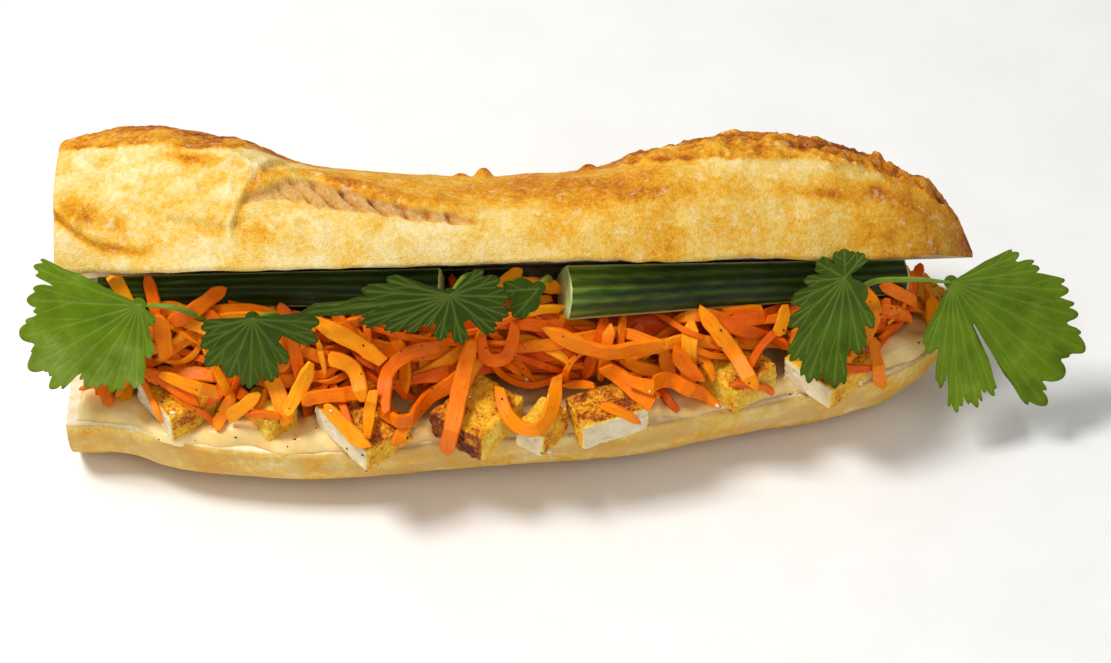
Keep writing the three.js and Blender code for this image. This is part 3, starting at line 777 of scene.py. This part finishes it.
# ---- The carrots ----
# Raw carrot cut into long flat shreds and heaped loosely in the mouth of the loaf.
# The shreds are bent strips laid one on another over a core of pressed shreds, which fills the fold.
CORE_DEPTH = 8.0  # the core's surface under the heap's outline
CORE_FROM, CORE_TO = -104, 105
INSIDE_HEAP = 27.0  # a height that lies in the heap all along
OUTSIDE = 90  # a distance that is clear of the sandwich at its front and back
FAR = 140  # where the rods start that feel the surfaces
UNMET = -99.0  # the height written where a rod meets nothing
MET = -90.0  # a height over this was met
CELL = 0.6
SPACING = 1.1  # between a shred's sections
rng = np.random.default_rng(11)

carrot_finish, tree, shader = finish(
    "carrot", Roughness=0.42, Subsurface_Weight=0.12, Subsurface_Scale=0.001, Specular_IOR_Level=0.15,
)
tone = painted(tree, "tone")
along_value = painted(tree, "along")
across_value = painted(tree, "across")
place = add(tree, "CombineXYZ", {
    "X": sums(tree, "MULTIPLY", along_value, 0.12), "Y": sums(tree, "MULTIPLY", across_value, 1.5), "Z": tone,
}).outputs["Vector"]
fibres = add(tree, "TexNoise", {"Vector": place, "Scale": 2.2, "Detail": 3.0}).outputs["Fac"]
shade = varied(tree, varied(tree, tone, fibres, 0.55), speckle(tree, 3, 3), 0.35)
coat(
    tree, shader,
    ramp(
        tree, shade,
        (0.05, colour(206, 70, 0)), (0.35, colour(232, 100, 0)), (0.6, colour(246, 132, 2)),
        (0.95, colour(253, 172, 20)),
    ),
)
bumps(tree, shader, sums(tree, "ADD", fibres, speckle(tree, 0.7, 2)), 0.16, 0.6)


def feeler(*pieces):
    """The pieces' surfaces in millimetres, for straight rods to be pushed against."""
    points, faces = [], []
    for piece in pieces:
        start = len(points)
        points += [piece.matrix_world @ vertex.co / MM for vertex in piece.data.vertices]
        faces += [[start + i for i in face.vertices] for face in piece.data.polygons]
    return BVHTree.FromPolygons(points, faces)


def heights(surface, side, grid):
    """How high the surface stands over each point of a grid, seen along the third direction of `side`."""
    flat = np.full(grid.shape[:-1], UNMET)
    towards_it = Vector(-side[2])
    for i, j in np.ndindex(flat.shape):
        start = side[0] * grid[i, j, 0] + side[1] * grid[i, j, 1] + side[2] * FAR
        hit = surface.ray_cast(Vector(start), towards_it)
        if hit[3] is not None:
            flat[i, j] = FAR - hit[3]
    return flat


bpy.context.view_layer.update()
nodes = frame["nodes"]
heap_surface = feeler(nodes["carrot_heap"])
stations = np.arange(CORE_FROM, CORE_TO, 1.2)
directions = np.linspace(0, 2 * np.pi, 72, endpoint=False)
core_rings = []
for x in stations:
    z = INSIDE_HEAP
    near = heap_surface.ray_cast(Vector((x, -OUTSIDE, z)), Vector((0, 1, 0)))[0].y
    far = heap_surface.ray_cast(Vector((x, OUTSIDE, z)), Vector((0, -1, 0)))[0].y
    y = (near + far) / 2
    z = (z + heap_surface.ray_cast(Vector((x, y, z)), Vector((0, 0, 1)))[0].z) / 2
    ring = []
    for direction in directions:
        way = Vector((0, -math.cos(direction), math.sin(direction)))
        reach = heap_surface.ray_cast(Vector((x, y, z)), way)[3] or 6
        ring.append(np.array((x, y, z)) + np.array(way) * max(reach - CORE_DEPTH, 1.5))
    core_rings.append(ring)
core_rings = np.array(core_rings)
centres = core_rings.mean(axis=1, keepdims=True)
from_ends = np.minimum(stations - CORE_FROM, CORE_TO - stations)
ends = np.minimum(1, 0.3 + 0.7 * rise(from_ends, 0, 6))[:, None, None]
ridges = 0.06 * np.abs(grain(core_rings * (0.35, 1, 1), 2.6, 90))
ridges += 0.05 * grain(core_rings * (1, 0.3, 1), 2.4, 91)
core_rings = centres + (core_rings - centres) * ends * (0.97 + ridges[:, :, None])
points, faces = close_ends(core_rings)
# Painted shade: the core shows only in the gaps between the shreds, so it is painted a darker, redder orange
# than they are.
paint = {
    "tone": 0.12 + 0.12 * grain(points * (0.3, 1, 1), 3, 92),
    "along": points[:, 0],
    "across": points[:, 2] * 0.7,
}
core = make_piece("carrot_core", points, faces, carrot_finish, paint)
serve(core, "carrot", "carrot_heap")

shred_points, shred_faces, shred_paint = [], [], {"tone": [], "along": [], "across": []}


def blur(values, reach):
    weights = np.exp(-((np.arange(-3 * reach, 3 * reach + 1) / reach) ** 2) / 2)
    padded = np.pad(values, 3 * reach, mode="edge")
    return np.convolve(padded, weights / weights.sum(), "valid")


def unit(vectors):
    return vectors / np.linalg.norm(vectors, axis=1, keepdims=True)


def add_shred(line, normal, width, thickness, roll, twist, tone):
    """A flat strip along a line of points, lying against `normal`, with ragged tapered ends."""
    count = len(line)
    along = unit(np.gradient(line, axis=0))
    up = unit(normal - (along @ normal)[:, None] * along)
    side = np.cross(up, along)
    turn = (roll + twist * np.linspace(-1, 1, count))[:, None]
    side, up = side * np.cos(turn) + up * np.sin(turn), up * np.cos(turn) - side * np.sin(turn)
    distance = np.arange(count) * SPACING
    taper, slant = np.ones(count), np.zeros(count)
    for from_end in (distance, distance[::-1]):
        blunt = rng.uniform(0.1, 0.8)
        taper = np.minimum(taper, blunt + (1 - blunt) * from_end / rng.uniform(1, 0.22 * distance[-1] + 1))
        slant += rng.uniform(-0.9, 0.9) * np.exp(-from_end / 2)
    taper, slant = taper[:, None], slant[:, None]
    wave = 1 + 0.11 * grain(line, 5, 93)[:, None] + 0.09 * grain(line, 1.8, 94)[:, None]
    half_width = width / 2 * taper * wave
    half_thick = thickness / 2 * (0.5 + 0.5 * taper) * (1 + 0.15 * grain(line, 4, 95)[:, None])
    bevel = 0.16 * thickness
    start = sum(map(len, shred_points))
    corners = []
    for w, t, on_edge in (
        (1, 1, 1), (1, 1, 0), (-1, 1, 0), (-1, 1, 1), (-1, -1, 1), (-1, -1, 0), (1, -1, 0), (1, -1, 1),
    ):
        sideways = w * (half_width - bevel * (1 - on_edge)).clip(0.15)
        upwards = t * (half_thick - bevel * on_edge).clip(0.1)
        corners.append(line + side * sideways + up * upwards + along * sideways * slant)
    rings = np.stack(corners, axis=1)
    points, faces = close_ends(rings)
    shred_points.append(points)
    shred_faces.extend([[start + i for i in face] for face in faces])
    spread = np.array([1, 0.6, -0.6, -1, -1, -0.6, 0.6, 1])[None, :]
    shred_paint["tone"].append(with_ends(tone + 0.08 * grain(line, 9, 96)[:, None] + 0 * spread))
    shred_paint["along"].append(with_ends(distance[:, None] + 0 * spread + 100 * tone))
    shred_paint["across"].append(with_ends(spread * width / 2 + 0 * distance[:, None]))


def spread_out(grid):
    """Each cell raised to the highest of its neighbours."""
    padded = np.pad(grid, 1, mode="edge")
    return np.max([padded[1:-1, :-2], padded[1:-1, 2:], padded[:-2, 1:-1], padded[2:, 1:-1]], axis=0)


class Pile:
    """Shreds laid flat on whatever is under them, seen from one side of the sandwich."""

    def __init__(self, side, low, high, under, free, shut, over):
        self.sink = 0.35
        self.side = np.array(side, float)
        self.low = np.array(low, float)
        across = np.arange(low[0], high[0], CELL)
        upwards = np.arange(low[1], high[1], CELL)
        grid = np.stack(np.meshgrid(across, upwards, indexing="ij"), axis=-1)
        heap = heights(heap_surface, self.side, grid)
        packed = heights(feeler(core), self.side, grid)
        rest = heights(feeler(*under), self.side, grid)
        closed = heights(feeler(*shut), self.side, grid)
        leaves = heights(feeler(*over), self.side, grid)
        rest = np.maximum(rest, closed)
        in_heap = (heap > MET) & (heap > rest - 0.3)
        self.ground = np.maximum(np.where(in_heap, np.maximum(packed, heap - CORE_DEPTH - 2.5), rest), rest)
        spilling = np.where(in_heap, heap + 1.0, UNMET)
        for step in range(int(free / CELL)):
            spilling = np.maximum(spilling, spread_out(spilling) - 0.3)
            if step == int(free / CELL / 2):
                wanted = (rest > closed) & (spilling > MET)
        open_to_spill = (rest > closed) & (spilling > MET)
        over_spill = np.where(open_to_spill, np.maximum(spilling, rest + 4), UNMET)
        roof = np.where(in_heap, heap + 1.0, over_spill)
        self.roof = np.where(leaves > MET, np.minimum(roof, leaves - 0.8), roof)
        self.wanted = np.argwhere(in_heap | wanted)

    def cells(self, flat):
        index = np.rint((flat - self.low) / CELL).astype(int)
        return tuple(np.clip(index, 0, np.array(self.ground.shape) - 1).T)

    def below(self, grid, flat, breadth, shares):
        """A grid's values along a strip, at shares of its breadth to either side of its middle."""
        return [grid[self.cells(flat + breadth * share)] for share in shares]

    def rest(self, flat, width, thickness, roll):
        """The height of the strip's middle along a path, its lean, and how far it breaks through the roof."""
        way = np.gradient(flat, axis=0)
        way /= np.linalg.norm(way, axis=1, keepdims=True).clip(1e-6)
        sideways = way[:, ::-1] * (-1, 1)
        floor = np.max(self.below(self.ground, flat, sideways * width, (-0.45, -0.2, 0, 0.2, 0.45)), axis=0)
        floor = np.where(floor < MET, floor.max(), floor)
        padded = np.pad(floor, 1, mode="edge")
        highest = np.max([padded[i:i + len(floor)] for i in range(3)], axis=0)
        floor = np.maximum(blur(highest, 2) - self.sink, floor - 0.35 - self.sink)
        lift = thickness / 2 * math.cos(roll) + width / 2 * abs(math.sin(roll)) * 0.7
        roof = np.min(self.below(self.roof, flat, sideways * width, (-0.4, 0, 0.4)), axis=0)
        over = floor + 2 * lift - roof
        return floor + lift, sideways, max(over.max() - 1.8, over.mean())

    def lay(self, flat, width, thickness, roll, twist, tone):
        middle, sideways, _ = self.rest(flat, width, thickness, roll)
        add_shred(self.place(flat, middle), self.side[2], width, thickness, roll, twist, tone)
        dense = np.linspace(0, len(flat) - 1, 2 * len(flat))
        for share in np.arange(-0.5, 0.51, 0.12):
            edge = flat + sideways * width * share
            edge = np.stack([np.interp(dense, np.arange(len(flat)), edge[:, k]) for k in (0, 1)], axis=-1)
            top = np.interp(dense, np.arange(len(flat)), middle) + thickness / 2
            cells = self.cells(edge)
            np.maximum.at(self.ground, cells, top)

    def place(self, flat, height):
        return flat[:, :1] * self.side[0] + flat[:, 1:] * self.side[1] + height[:, None] * self.side[2]

    def fill(self, count, shortest, longest, tries=40):
        for _ in range(count):
            best = None
            hollows = self.wanted[(self.roof - self.ground)[tuple(self.wanted.T)] > 2.4]
            if not len(hollows):
                break
            for _ in range(tries):
                flat, width, thickness, roll = self.loose(hollows, shortest, longest)
                middle, _, over = self.rest(flat, width, thickness, roll)
                if over > 0:
                    continue
                room = (self.roof[self.cells(flat)] - middle).mean() + 0.09 * abs(flat[-1, 1] - flat[0, 1])
                if best is None or room > best[0]:
                    best = (room, flat, width, thickness, roll)
            if best:
                twist = rng.normal(0, 0.4)
                self.lay(*best[1:], twist, rng.uniform(0.2, 0.8))

    def loose(self, hollows, shortest, longest):
        """A random path over one of the hollows, with a lazy bend in it, and a random strip to follow it."""
        length = rng.uniform(shortest, longest)
        count = int(length / SPACING)
        travel = (np.arange(count) - count / 2) * SPACING
        bend = rng.normal(0, 0.028) + (rng.random() < 0.14) * rng.choice((-1, 1)) * rng.uniform(0.07, 0.12)
        headings = (rng.uniform(0, np.pi), rng.normal(2.05, 0.35), rng.normal(1.1, 0.35))
        heading = rng.choice(headings, p=(0.4, 0.35, 0.25))
        heading = heading + bend * travel + rng.normal(0, 0.0007) * travel**2
        steps = np.stack([np.cos(heading), np.sin(heading)], axis=-1) * SPACING
        middle = hollows[rng.integers(len(hollows))] * CELL + self.low
        flat = np.cumsum(steps, axis=0)
        flat += middle - flat[rng.integers(count)]
        width = rng.choice((rng.uniform(1.4, 2.6), rng.uniform(2.7, 3.9)), p=(0.25, 0.75))
        return flat, width, rng.uniform(1.0, 1.4), rng.normal(0, 0.3)


leaf_nodes = [nodes[f"coriander_{i}"] for i in range(1, 7)]
tofu_nodes = [nodes[f"tofu_{i}"] for i in range(1, 10)]
MOUTH = ((1, 0, 0), (0, 0.41, 0.912), (0, -0.912, 0.41))
mouth = Pile(
    MOUTH, (-112, 0), (112, 54), under=[*tofu_nodes, nodes["mayonnaise"]], free=8,
    shut=[nodes["loaf"], *(nodes[f"cucumber_{i}"] for i in (1, 2, 3))], over=leaf_nodes,
)
mouth.fill(90, 28, 56)
mouth.fill(120, 18, 34)
mouth.fill(60, 9, 18)

# The shreds that ended up on top: places across and up the mouth, then width and thickness.
ON_TOP = [
    ([(-97, 49), (-91, 36)], 3.6, 1.8), ([(-89, 48.5), (-86, 36)], 3.2, 1.8),
    ([(-84, 36), (-69, 45.5)], 3.8, 1.8), ([(-103, 23), (-99.5, 12)], 3.2, 1.6),
    ([(-85.5, 40), (-84.3, 26)], 4.2, 1.8), ([(-91.5, 24), (-75.5, 17)], 3.8, 1.8),
    ([(-87, 24.5), (-71, 19)], 3.4, 1.7), ([(-68.5, 19), (-74.5, 9)], 3.6, 1.7),
    ([(-61.5, 20), (-71, 12)], 3.6, 1.7), ([(-49, 28), (-52, 21), (-57, 14)], 3.6, 1.8),
    ([(-52.5, 18), (-43, 19.6), (-34, 19.5)], 3.8, 1.8), ([(-47, 17.5), (-35, 9)], 4.0, 1.6),
    ([(-26, 15), (-29.5, 7)], 3.4, 1.7), ([(-49, 37.5), (-38.5, 32.5), (-31, 26.5)], 4.2, 2),
    ([(-46, 29), (-40, 27), (-36.5, 16.5)], 4.2, 1.9),
    ([(-34, 16.5), (-26, 14.5), (-16, 20.5), (-12, 24.5)], 3.8, 1.8),
    ([(-31, 16), (-31.5, 24), (-26, 29), (-17, 30.5)], 3.8, 1.8),
    ([(-8, 33), (-7, 26), (-2.5, 26), (0.7, 37)], 3.4, 1.7),
    ([(-4, 20), (-2, 13.5), (4, 11.5), (9, 15.5), (10.5, 23)], 3.8, 1.8),
    ([(-4, 43), (3.5, 49)], 3.6, 1.8), ([(0.5, 46), (13, 40)], 3.8, 1.8),
    ([(6, 34.5), (22, 27.5), (38, 29.5)], 4.2, 2), ([(38.5, 27), (46, 17.5)], 4.2, 1.9),
    ([(21, 24), (37, 12.5)], 4.2, 1.8), ([(26.5, 21.5), (41.5, 17), (52, 9.5)], 4.0, 1.8),
    ([(45, 36.5), (53, 26), (60, 15.5)], 4.0, 1.9),
    ([(85, 38), (90, 32.5), (88, 26), (80.5, 21.5)], 3.8, 1.9),
    ([(88.5, 26), (90.5, 17), (92.5, 9)], 3.4, 1.6), ([(91, 38), (102, 30.5)], 3.2, 1.7),
    ([(-34, 22.5), (-36, 11)], 3.0, 1.5), ([(-10, 33), (-14, 18), (-18, 2.5)], 4.4, 2),
]


def path_through(marks):
    """The length of a smooth path through marks, and the curve that each of their coordinates follows."""
    walked = np.concatenate([[0], np.cumsum(np.linalg.norm(np.diff(marks, axis=0), axis=1))])
    return walked[-1], [through(*zip(walked, column)) for column in marks.T]


mouth.sink = -0.3  # these lie clear of what is under them
for marks, width, thickness in ON_TOP:
    marks = np.array(marks, float)
    if len(marks) == 2:
        marks = np.array([marks[0], marks.mean(axis=0) + rng.normal(0, 0.5, 2), marks[1]])
    length, curves = path_through(marks)
    travel = np.arange(0, length, SPACING)
    flat = np.stack([blur(curve(travel), 2) for curve in curves], axis=-1)
    lie = (rng.normal(0, 0.16), rng.normal(0, 0.3), rng.uniform(0.35, 0.85))
    mouth.lay(flat, 0.95 * width, 0.72 * thickness, *lie)

left_end = Pile(
    ((0, -1, 0), (0, 0, 1), (-1, 0, 0)), (-34, 18), (38, 62),
    under=[*tofu_nodes[:2], nodes["mayonnaise"], nodes["cucumber_2"]],
    free=2, shut=[nodes["loaf"]], over=leaf_nodes[:1],
)
left_end.fill(26, 10, 26)
right_end = Pile(
    ((0, 1, 0), (0, 0, 1), (1, 0, 0)), (-30, 18), (38, 60),
    under=[*tofu_nodes[6:], nodes["mayonnaise"], nodes["cucumber_1"]],
    free=2, shut=[nodes["loaf"]], over=leaf_nodes[4:5],
)
right_end.fill(14, 9, 22)
paint = {label: np.concatenate(values) for label, values in shred_paint.items()}
shreds = make_piece("carrot_shreds", np.concatenate(shred_points), shred_faces, carrot_finish, paint, 32)
serve(shreds, "carrot", "carrot_heap")

# ---- The coriander ----
# Whole fresh coriander leaves on their stems, tucked into the mouth of the loaf and falling out over it.
# Each is a thin blade of fan-shaped lobes with round teeth, with veins running out from the stalk.
LEAF_THICKNESS = 0.35
LEAF_AROUND = 420
LEAF_RINGS = 28
LEAF_HEEL = 1.8
STEM_RADIUS = 0.75
# The stalk's place, the way the blade faces, how it curls and twists, how pale it is, its stem's route,
# and its lobes as direction in degrees, length and half the fan's angle, the first one joining the rest.
LEAVES = [
    ((-90, -18.5, 55.5), (-0.1, -0.88, 0.44), 0.003, 0.002, 0.62, [(-74, -14, 46), (-82, -17.5, 53.5)],
     [(225, 11, 75), (164, 27, 9), (181, 27.5, 12), (199, 31, 13), (213, 33, 10), (225, 32, 8), (239, 26, 10),
      (253, 24, 10), (267, 21.5, 10), (280, 13.5, 11), (305, 6, 25)]),
    ((-62.7, -23.2, 54.5), (0.05, -0.93, 0.36), 0.006, 0, 0.15, [(-56, -15, 47), (-59, -20.5, 53)],
     [(270, 9, 100), (190, 12.5, 15), (208, 14.5, 14), (226, 17, 13), (246, 17, 13), (264, 19, 12),
      (282, 18, 12), (300, 15, 11), (333, 17, 11), (350, 16, 14)]),
    ((-15.3, -22, 59.4), (0.03, -0.93, 0.36), 0.001, 0, 0.0, [(-9, -9, 54.5), (-12, -16, 59.5)],
     [(250, 8, 110), (185.5, 36, 4.5), (163, 15.5, 11), (175, 21, 9), (186, 24, 9), (197, 22.5, 8),
      (208, 18, 9), (220, 14, 9), (233, 10, 9), (256, 12, 14),
      (281, 13, 13), (316, 14.5, 13), (336, 15, 14), (356, 14.3, 14), (16, 12.5, 14), (36, 10, 13)]),
    ((81, -10.5, 52), (0, -0.8, 0.6), -0.002, 0, 0.15, [(76, -7, 38), (78, -9.8, 45)],
     [(262, 8, 90), (298, 14, 12), (280, 19, 12), (263, 27, 10), (249, 27, 9), (236, 24, 10), (221, 18, 10),
      (204, 14.5, 12), (184, 10, 14), (150, 8, 25), (90, 7, 40), (50, 7.5, 22)]),
    ((109.5, 0, 40.5), (0.02, -0.76, 0.65), 0.002, 0.001, 0.5, [(84, -6, 38), (87, -6.5, 46), (98, -3, 44.5)],
     [(-40, 12, 72), (20, 18.5, 10), (6, 22.5, 11), (-6, 30, 11), (-17, 33.5, 10), (-29, 38.5, 10),
      (-42, 37.5, 12), (-54, 39.5, 8.5), (-71, 30.5, 6), (-80, 32, 6.5), (-89, 32.5, 6), (-98, 26.5, 5),
      (-110, 18.5, 11)]),
    ((6, -18, 57.5), (0.1, -0.93, 0.36), 0.004, 0, 0.1, [(9.5, -6, 48.5), (8, -12, 55.5)],
     [(205, 7, 75), (180, 9, 26), (228, 9.5, 24)]),
]

leaf_finish, tree, shader = finish(
    "coriander_leaf", Roughness=0.42, Subsurface_Weight=0.05, Subsurface_Scale=0.0008,
    Specular_IOR_Level=0.14,
)
vein_value = painted(tree, "vein")
pale_value = painted(tree, "pale")
green = varied(tree, pale_value, speckle(tree, 5), 0.5)
green_colour = ramp(
    tree, green,
    (0.0, colour(46, 66, 0)), (0.35, colour(70, 96, 2)), (0.65, colour(98, 126, 10)),
    (1.0, colour(146, 168, 76)),
)
coat(
    tree, shader,
    mix(tree, sums(tree, "MULTIPLY", vein_value, 0.2), green_colour, colour(150, 172, 70)),
)
sunken_veins = sums(tree, "SUBTRACT", speckle(tree, 0.8, 3), sums(tree, "MULTIPLY", vein_value, 0.8))
bumps(tree, shader, sunken_veins, 0.2, 0.6)


def leaf_reach(direction, lobes, seed):
    """How far the blade reaches in each direction, out to the teeth on its lobes."""
    reach = np.full_like(direction, LEAF_HEEL)
    for number, (at, length, breadth) in enumerate(lobes):
        off = ((direction - at + 180) % 360 - 180) / breadth
        fan = length * np.sqrt(np.clip(1 - off**4, 0, 1))
        if number:
            teeth = 1.4 + 0.3 * math.sin(number + seed)
            fan = fan * (0.93 + 0.08 * np.abs(np.sin(np.pi * (teeth * off + 0.5))) ** 0.8)
        reach = np.maximum(reach, fan)
    return reach


def leaf_veins(flat, lobes):
    """How near points of the flat blade are to a vein, from 0 to 1."""
    nearness = np.zeros(flat.shape[:-1])
    for at, length, breadth in lobes[1:]:
        at = math.radians(at)
        spokes = [(0, 0.0, 0.95, 0.3)]
        spokes += [(side * math.radians(breadth) * 0.6, 0.5 + 0.1 * side, 0.88, 0.16) for side in (-1, 1)]
        for turn, start, end, breadth_of_vein in spokes:
            a = np.array([math.cos(at), math.sin(at)]) * start * length
            b = np.array([math.cos(at + turn), math.sin(at + turn)]) * end * length
            share = np.clip(((flat - a) @ (b - a)) / ((b - a) @ (b - a)), 0, 1)
            away = np.linalg.norm(flat - a - share[..., None] * (b - a), axis=-1)
            nearness = np.maximum(nearness, np.exp(-((away / breadth_of_vein) ** 2)))
    return nearness


for number, (stalk, faces_to, curl, twist, pale, route, lobes) in enumerate(LEAVES, 1):
    out = np.array(faces_to) / np.linalg.norm(faces_to)
    level = np.cross((0, 0, 1), out)
    level /= np.linalg.norm(level)
    basis = np.array([level, np.cross(out, level), out])
    direction = np.linspace(0, 360, LEAF_AROUND, endpoint=False)[None, :]
    share = np.linspace(0.02, 1, LEAF_RINGS)[:, None] ** 0.8
    reach = leaf_reach(direction, lobes, number) * share
    angle = np.radians(direction)
    turn = angle + 0.012 * np.sin(reach / 1.6 + 5 * angle) * rise(reach, 4, 14)
    u, v = reach * np.cos(turn), reach * np.sin(turn)
    vein = leaf_veins(stack(u, v), lobes)
    blade = stack(u, v, 50 * number)
    ruffle = grain(blade, 14, 100) * rise(reach, 2, 14) + 0.35 * grain(blade, 5.5, 101) * rise(reach, 2, 8)
    height = -curl * reach**2 + twist * u * v + ruffle - 0.07 * vein
    half_thick = LEAF_THICKNESS / 2 * (1 - 0.6 * share)
    sheet_top = stack(u, v, height + half_thick)
    sheet_below = stack(u, v, height - half_thick)
    points, faces = close_ends(np.concatenate([sheet_top, sheet_below[::-1]]) @ basis + stalk)
    paleness = pale * (0.9 + 0.006 * reach) + 0.16 * grain(stack(u, v, 9), 8, 102)
    vein_paint = with_ends(np.concatenate([vein, vein[::-1] * 0.6]))
    pale_paint = with_ends(np.concatenate([paleness, paleness[::-1] + 0.25]))

    length, curves = path_through(np.array([*route, stalk]))
    travel = np.linspace(0, length, 48)
    line = np.stack([curve(travel) for curve in curves], axis=-1)
    along = unit(np.gradient(line, axis=0))
    side = unit(np.cross(along, out))
    other = np.cross(side, along)
    spin_round = np.linspace(0, 2 * np.pi, 14, endpoint=False)[None, :, None]
    narrowing = (1 - 0.6 * (travel / travel[-1]) ** 4)[:, None, None]
    radius = STEM_RADIUS * narrowing * (1 + 0.12 * np.cos(3 * spin_round))
    stem = line[:, None] + radius * (np.cos(spin_round) * side[:, None] + np.sin(spin_round) * other[:, None])
    stem_points, stem_faces = close_ends(stem)
    start = len(points)
    paint = {
        "vein": np.concatenate([vein_paint, np.full(len(stem_points), 0.9)]),
        "pale": np.concatenate([pale_paint, np.full(len(stem_points), 0.75)]),
    }
    piece = make_piece(
        f"coriander_leaf_{number}", np.concatenate([points, stem_points]),
        faces + [[start + i for i in face] for face in stem_faces], leaf_finish, paint,
    )
    serve(piece, "leaf", f"coriander_{number}")

# ---- Pepper and crumbs ----
# Coarsely ground black pepper scattered over the filling, and crumbs of bread that fell from the cut edges.
# Each grain is a small broken lump lying on whatever is under it.
pepper_finish, tree, shader = finish("ground_pepper", Roughness=0.6)
coat(
    tree, shader,
    ramp(tree, speckle(tree, 0.5), (0.35, colour(34, 24, 16)), (0.65, colour(96, 68, 40))),
)
bread_crumb_finish, tree, shader = finish("bread_crumb", Roughness=0.8)
coat(
    tree, shader,
    ramp(tree, speckle(tree, 0.9), (0.3, colour(226, 196, 140)), (0.7, colour(252, 240, 214))),
)
lump, lump_faces = block(4)
lump = lump / np.linalg.norm(lump, axis=1, keepdims=True)
slices = [bpy.data.objects[f"tofu_slice_{i}"] for i in range(1, 10)]
landing = feeler(shreds, *slices, bpy.data.objects["mayonnaise_waves"])
for name, material, slot, count, smallest, largest, low, high in (
    ("pepper_grains", pepper_finish, "spread", 150, 0.12, 0.3, (-104, 1), (106, 34)),
    ("bread_crumbs", bread_crumb_finish, "crust", 26, 0.25, 0.65, (-104, 0), (100, 22)),
):
    points, faces = [], []
    for seed in range(count):
        across, upwards = rng.uniform(low, high)
        start = mouth.side[0] * across + mouth.side[1] * upwards + mouth.side[2] * 120
        hit = landing.ray_cast(Vector(start), Vector(-mouth.side[2]))
        if hit[0] is None or hit[3] > 140:
            continue
        size = rng.uniform(smallest, largest)
        squash = rng.uniform(0.5, 1.3, 3)
        broken = 1 + 0.45 * grain(lump * 1.6 + 7 * seed, 1, 110)[:, None]
        grains = lump * size * squash * broken
        faces += [[len(points) * len(lump) + i for i in face] for face in lump_faces]
        points.append(grains + np.array(hit[0]) + np.array(hit[1]) * size * 0.3)
    serve(make_piece(name, np.concatenate(points), faces, material), slot)
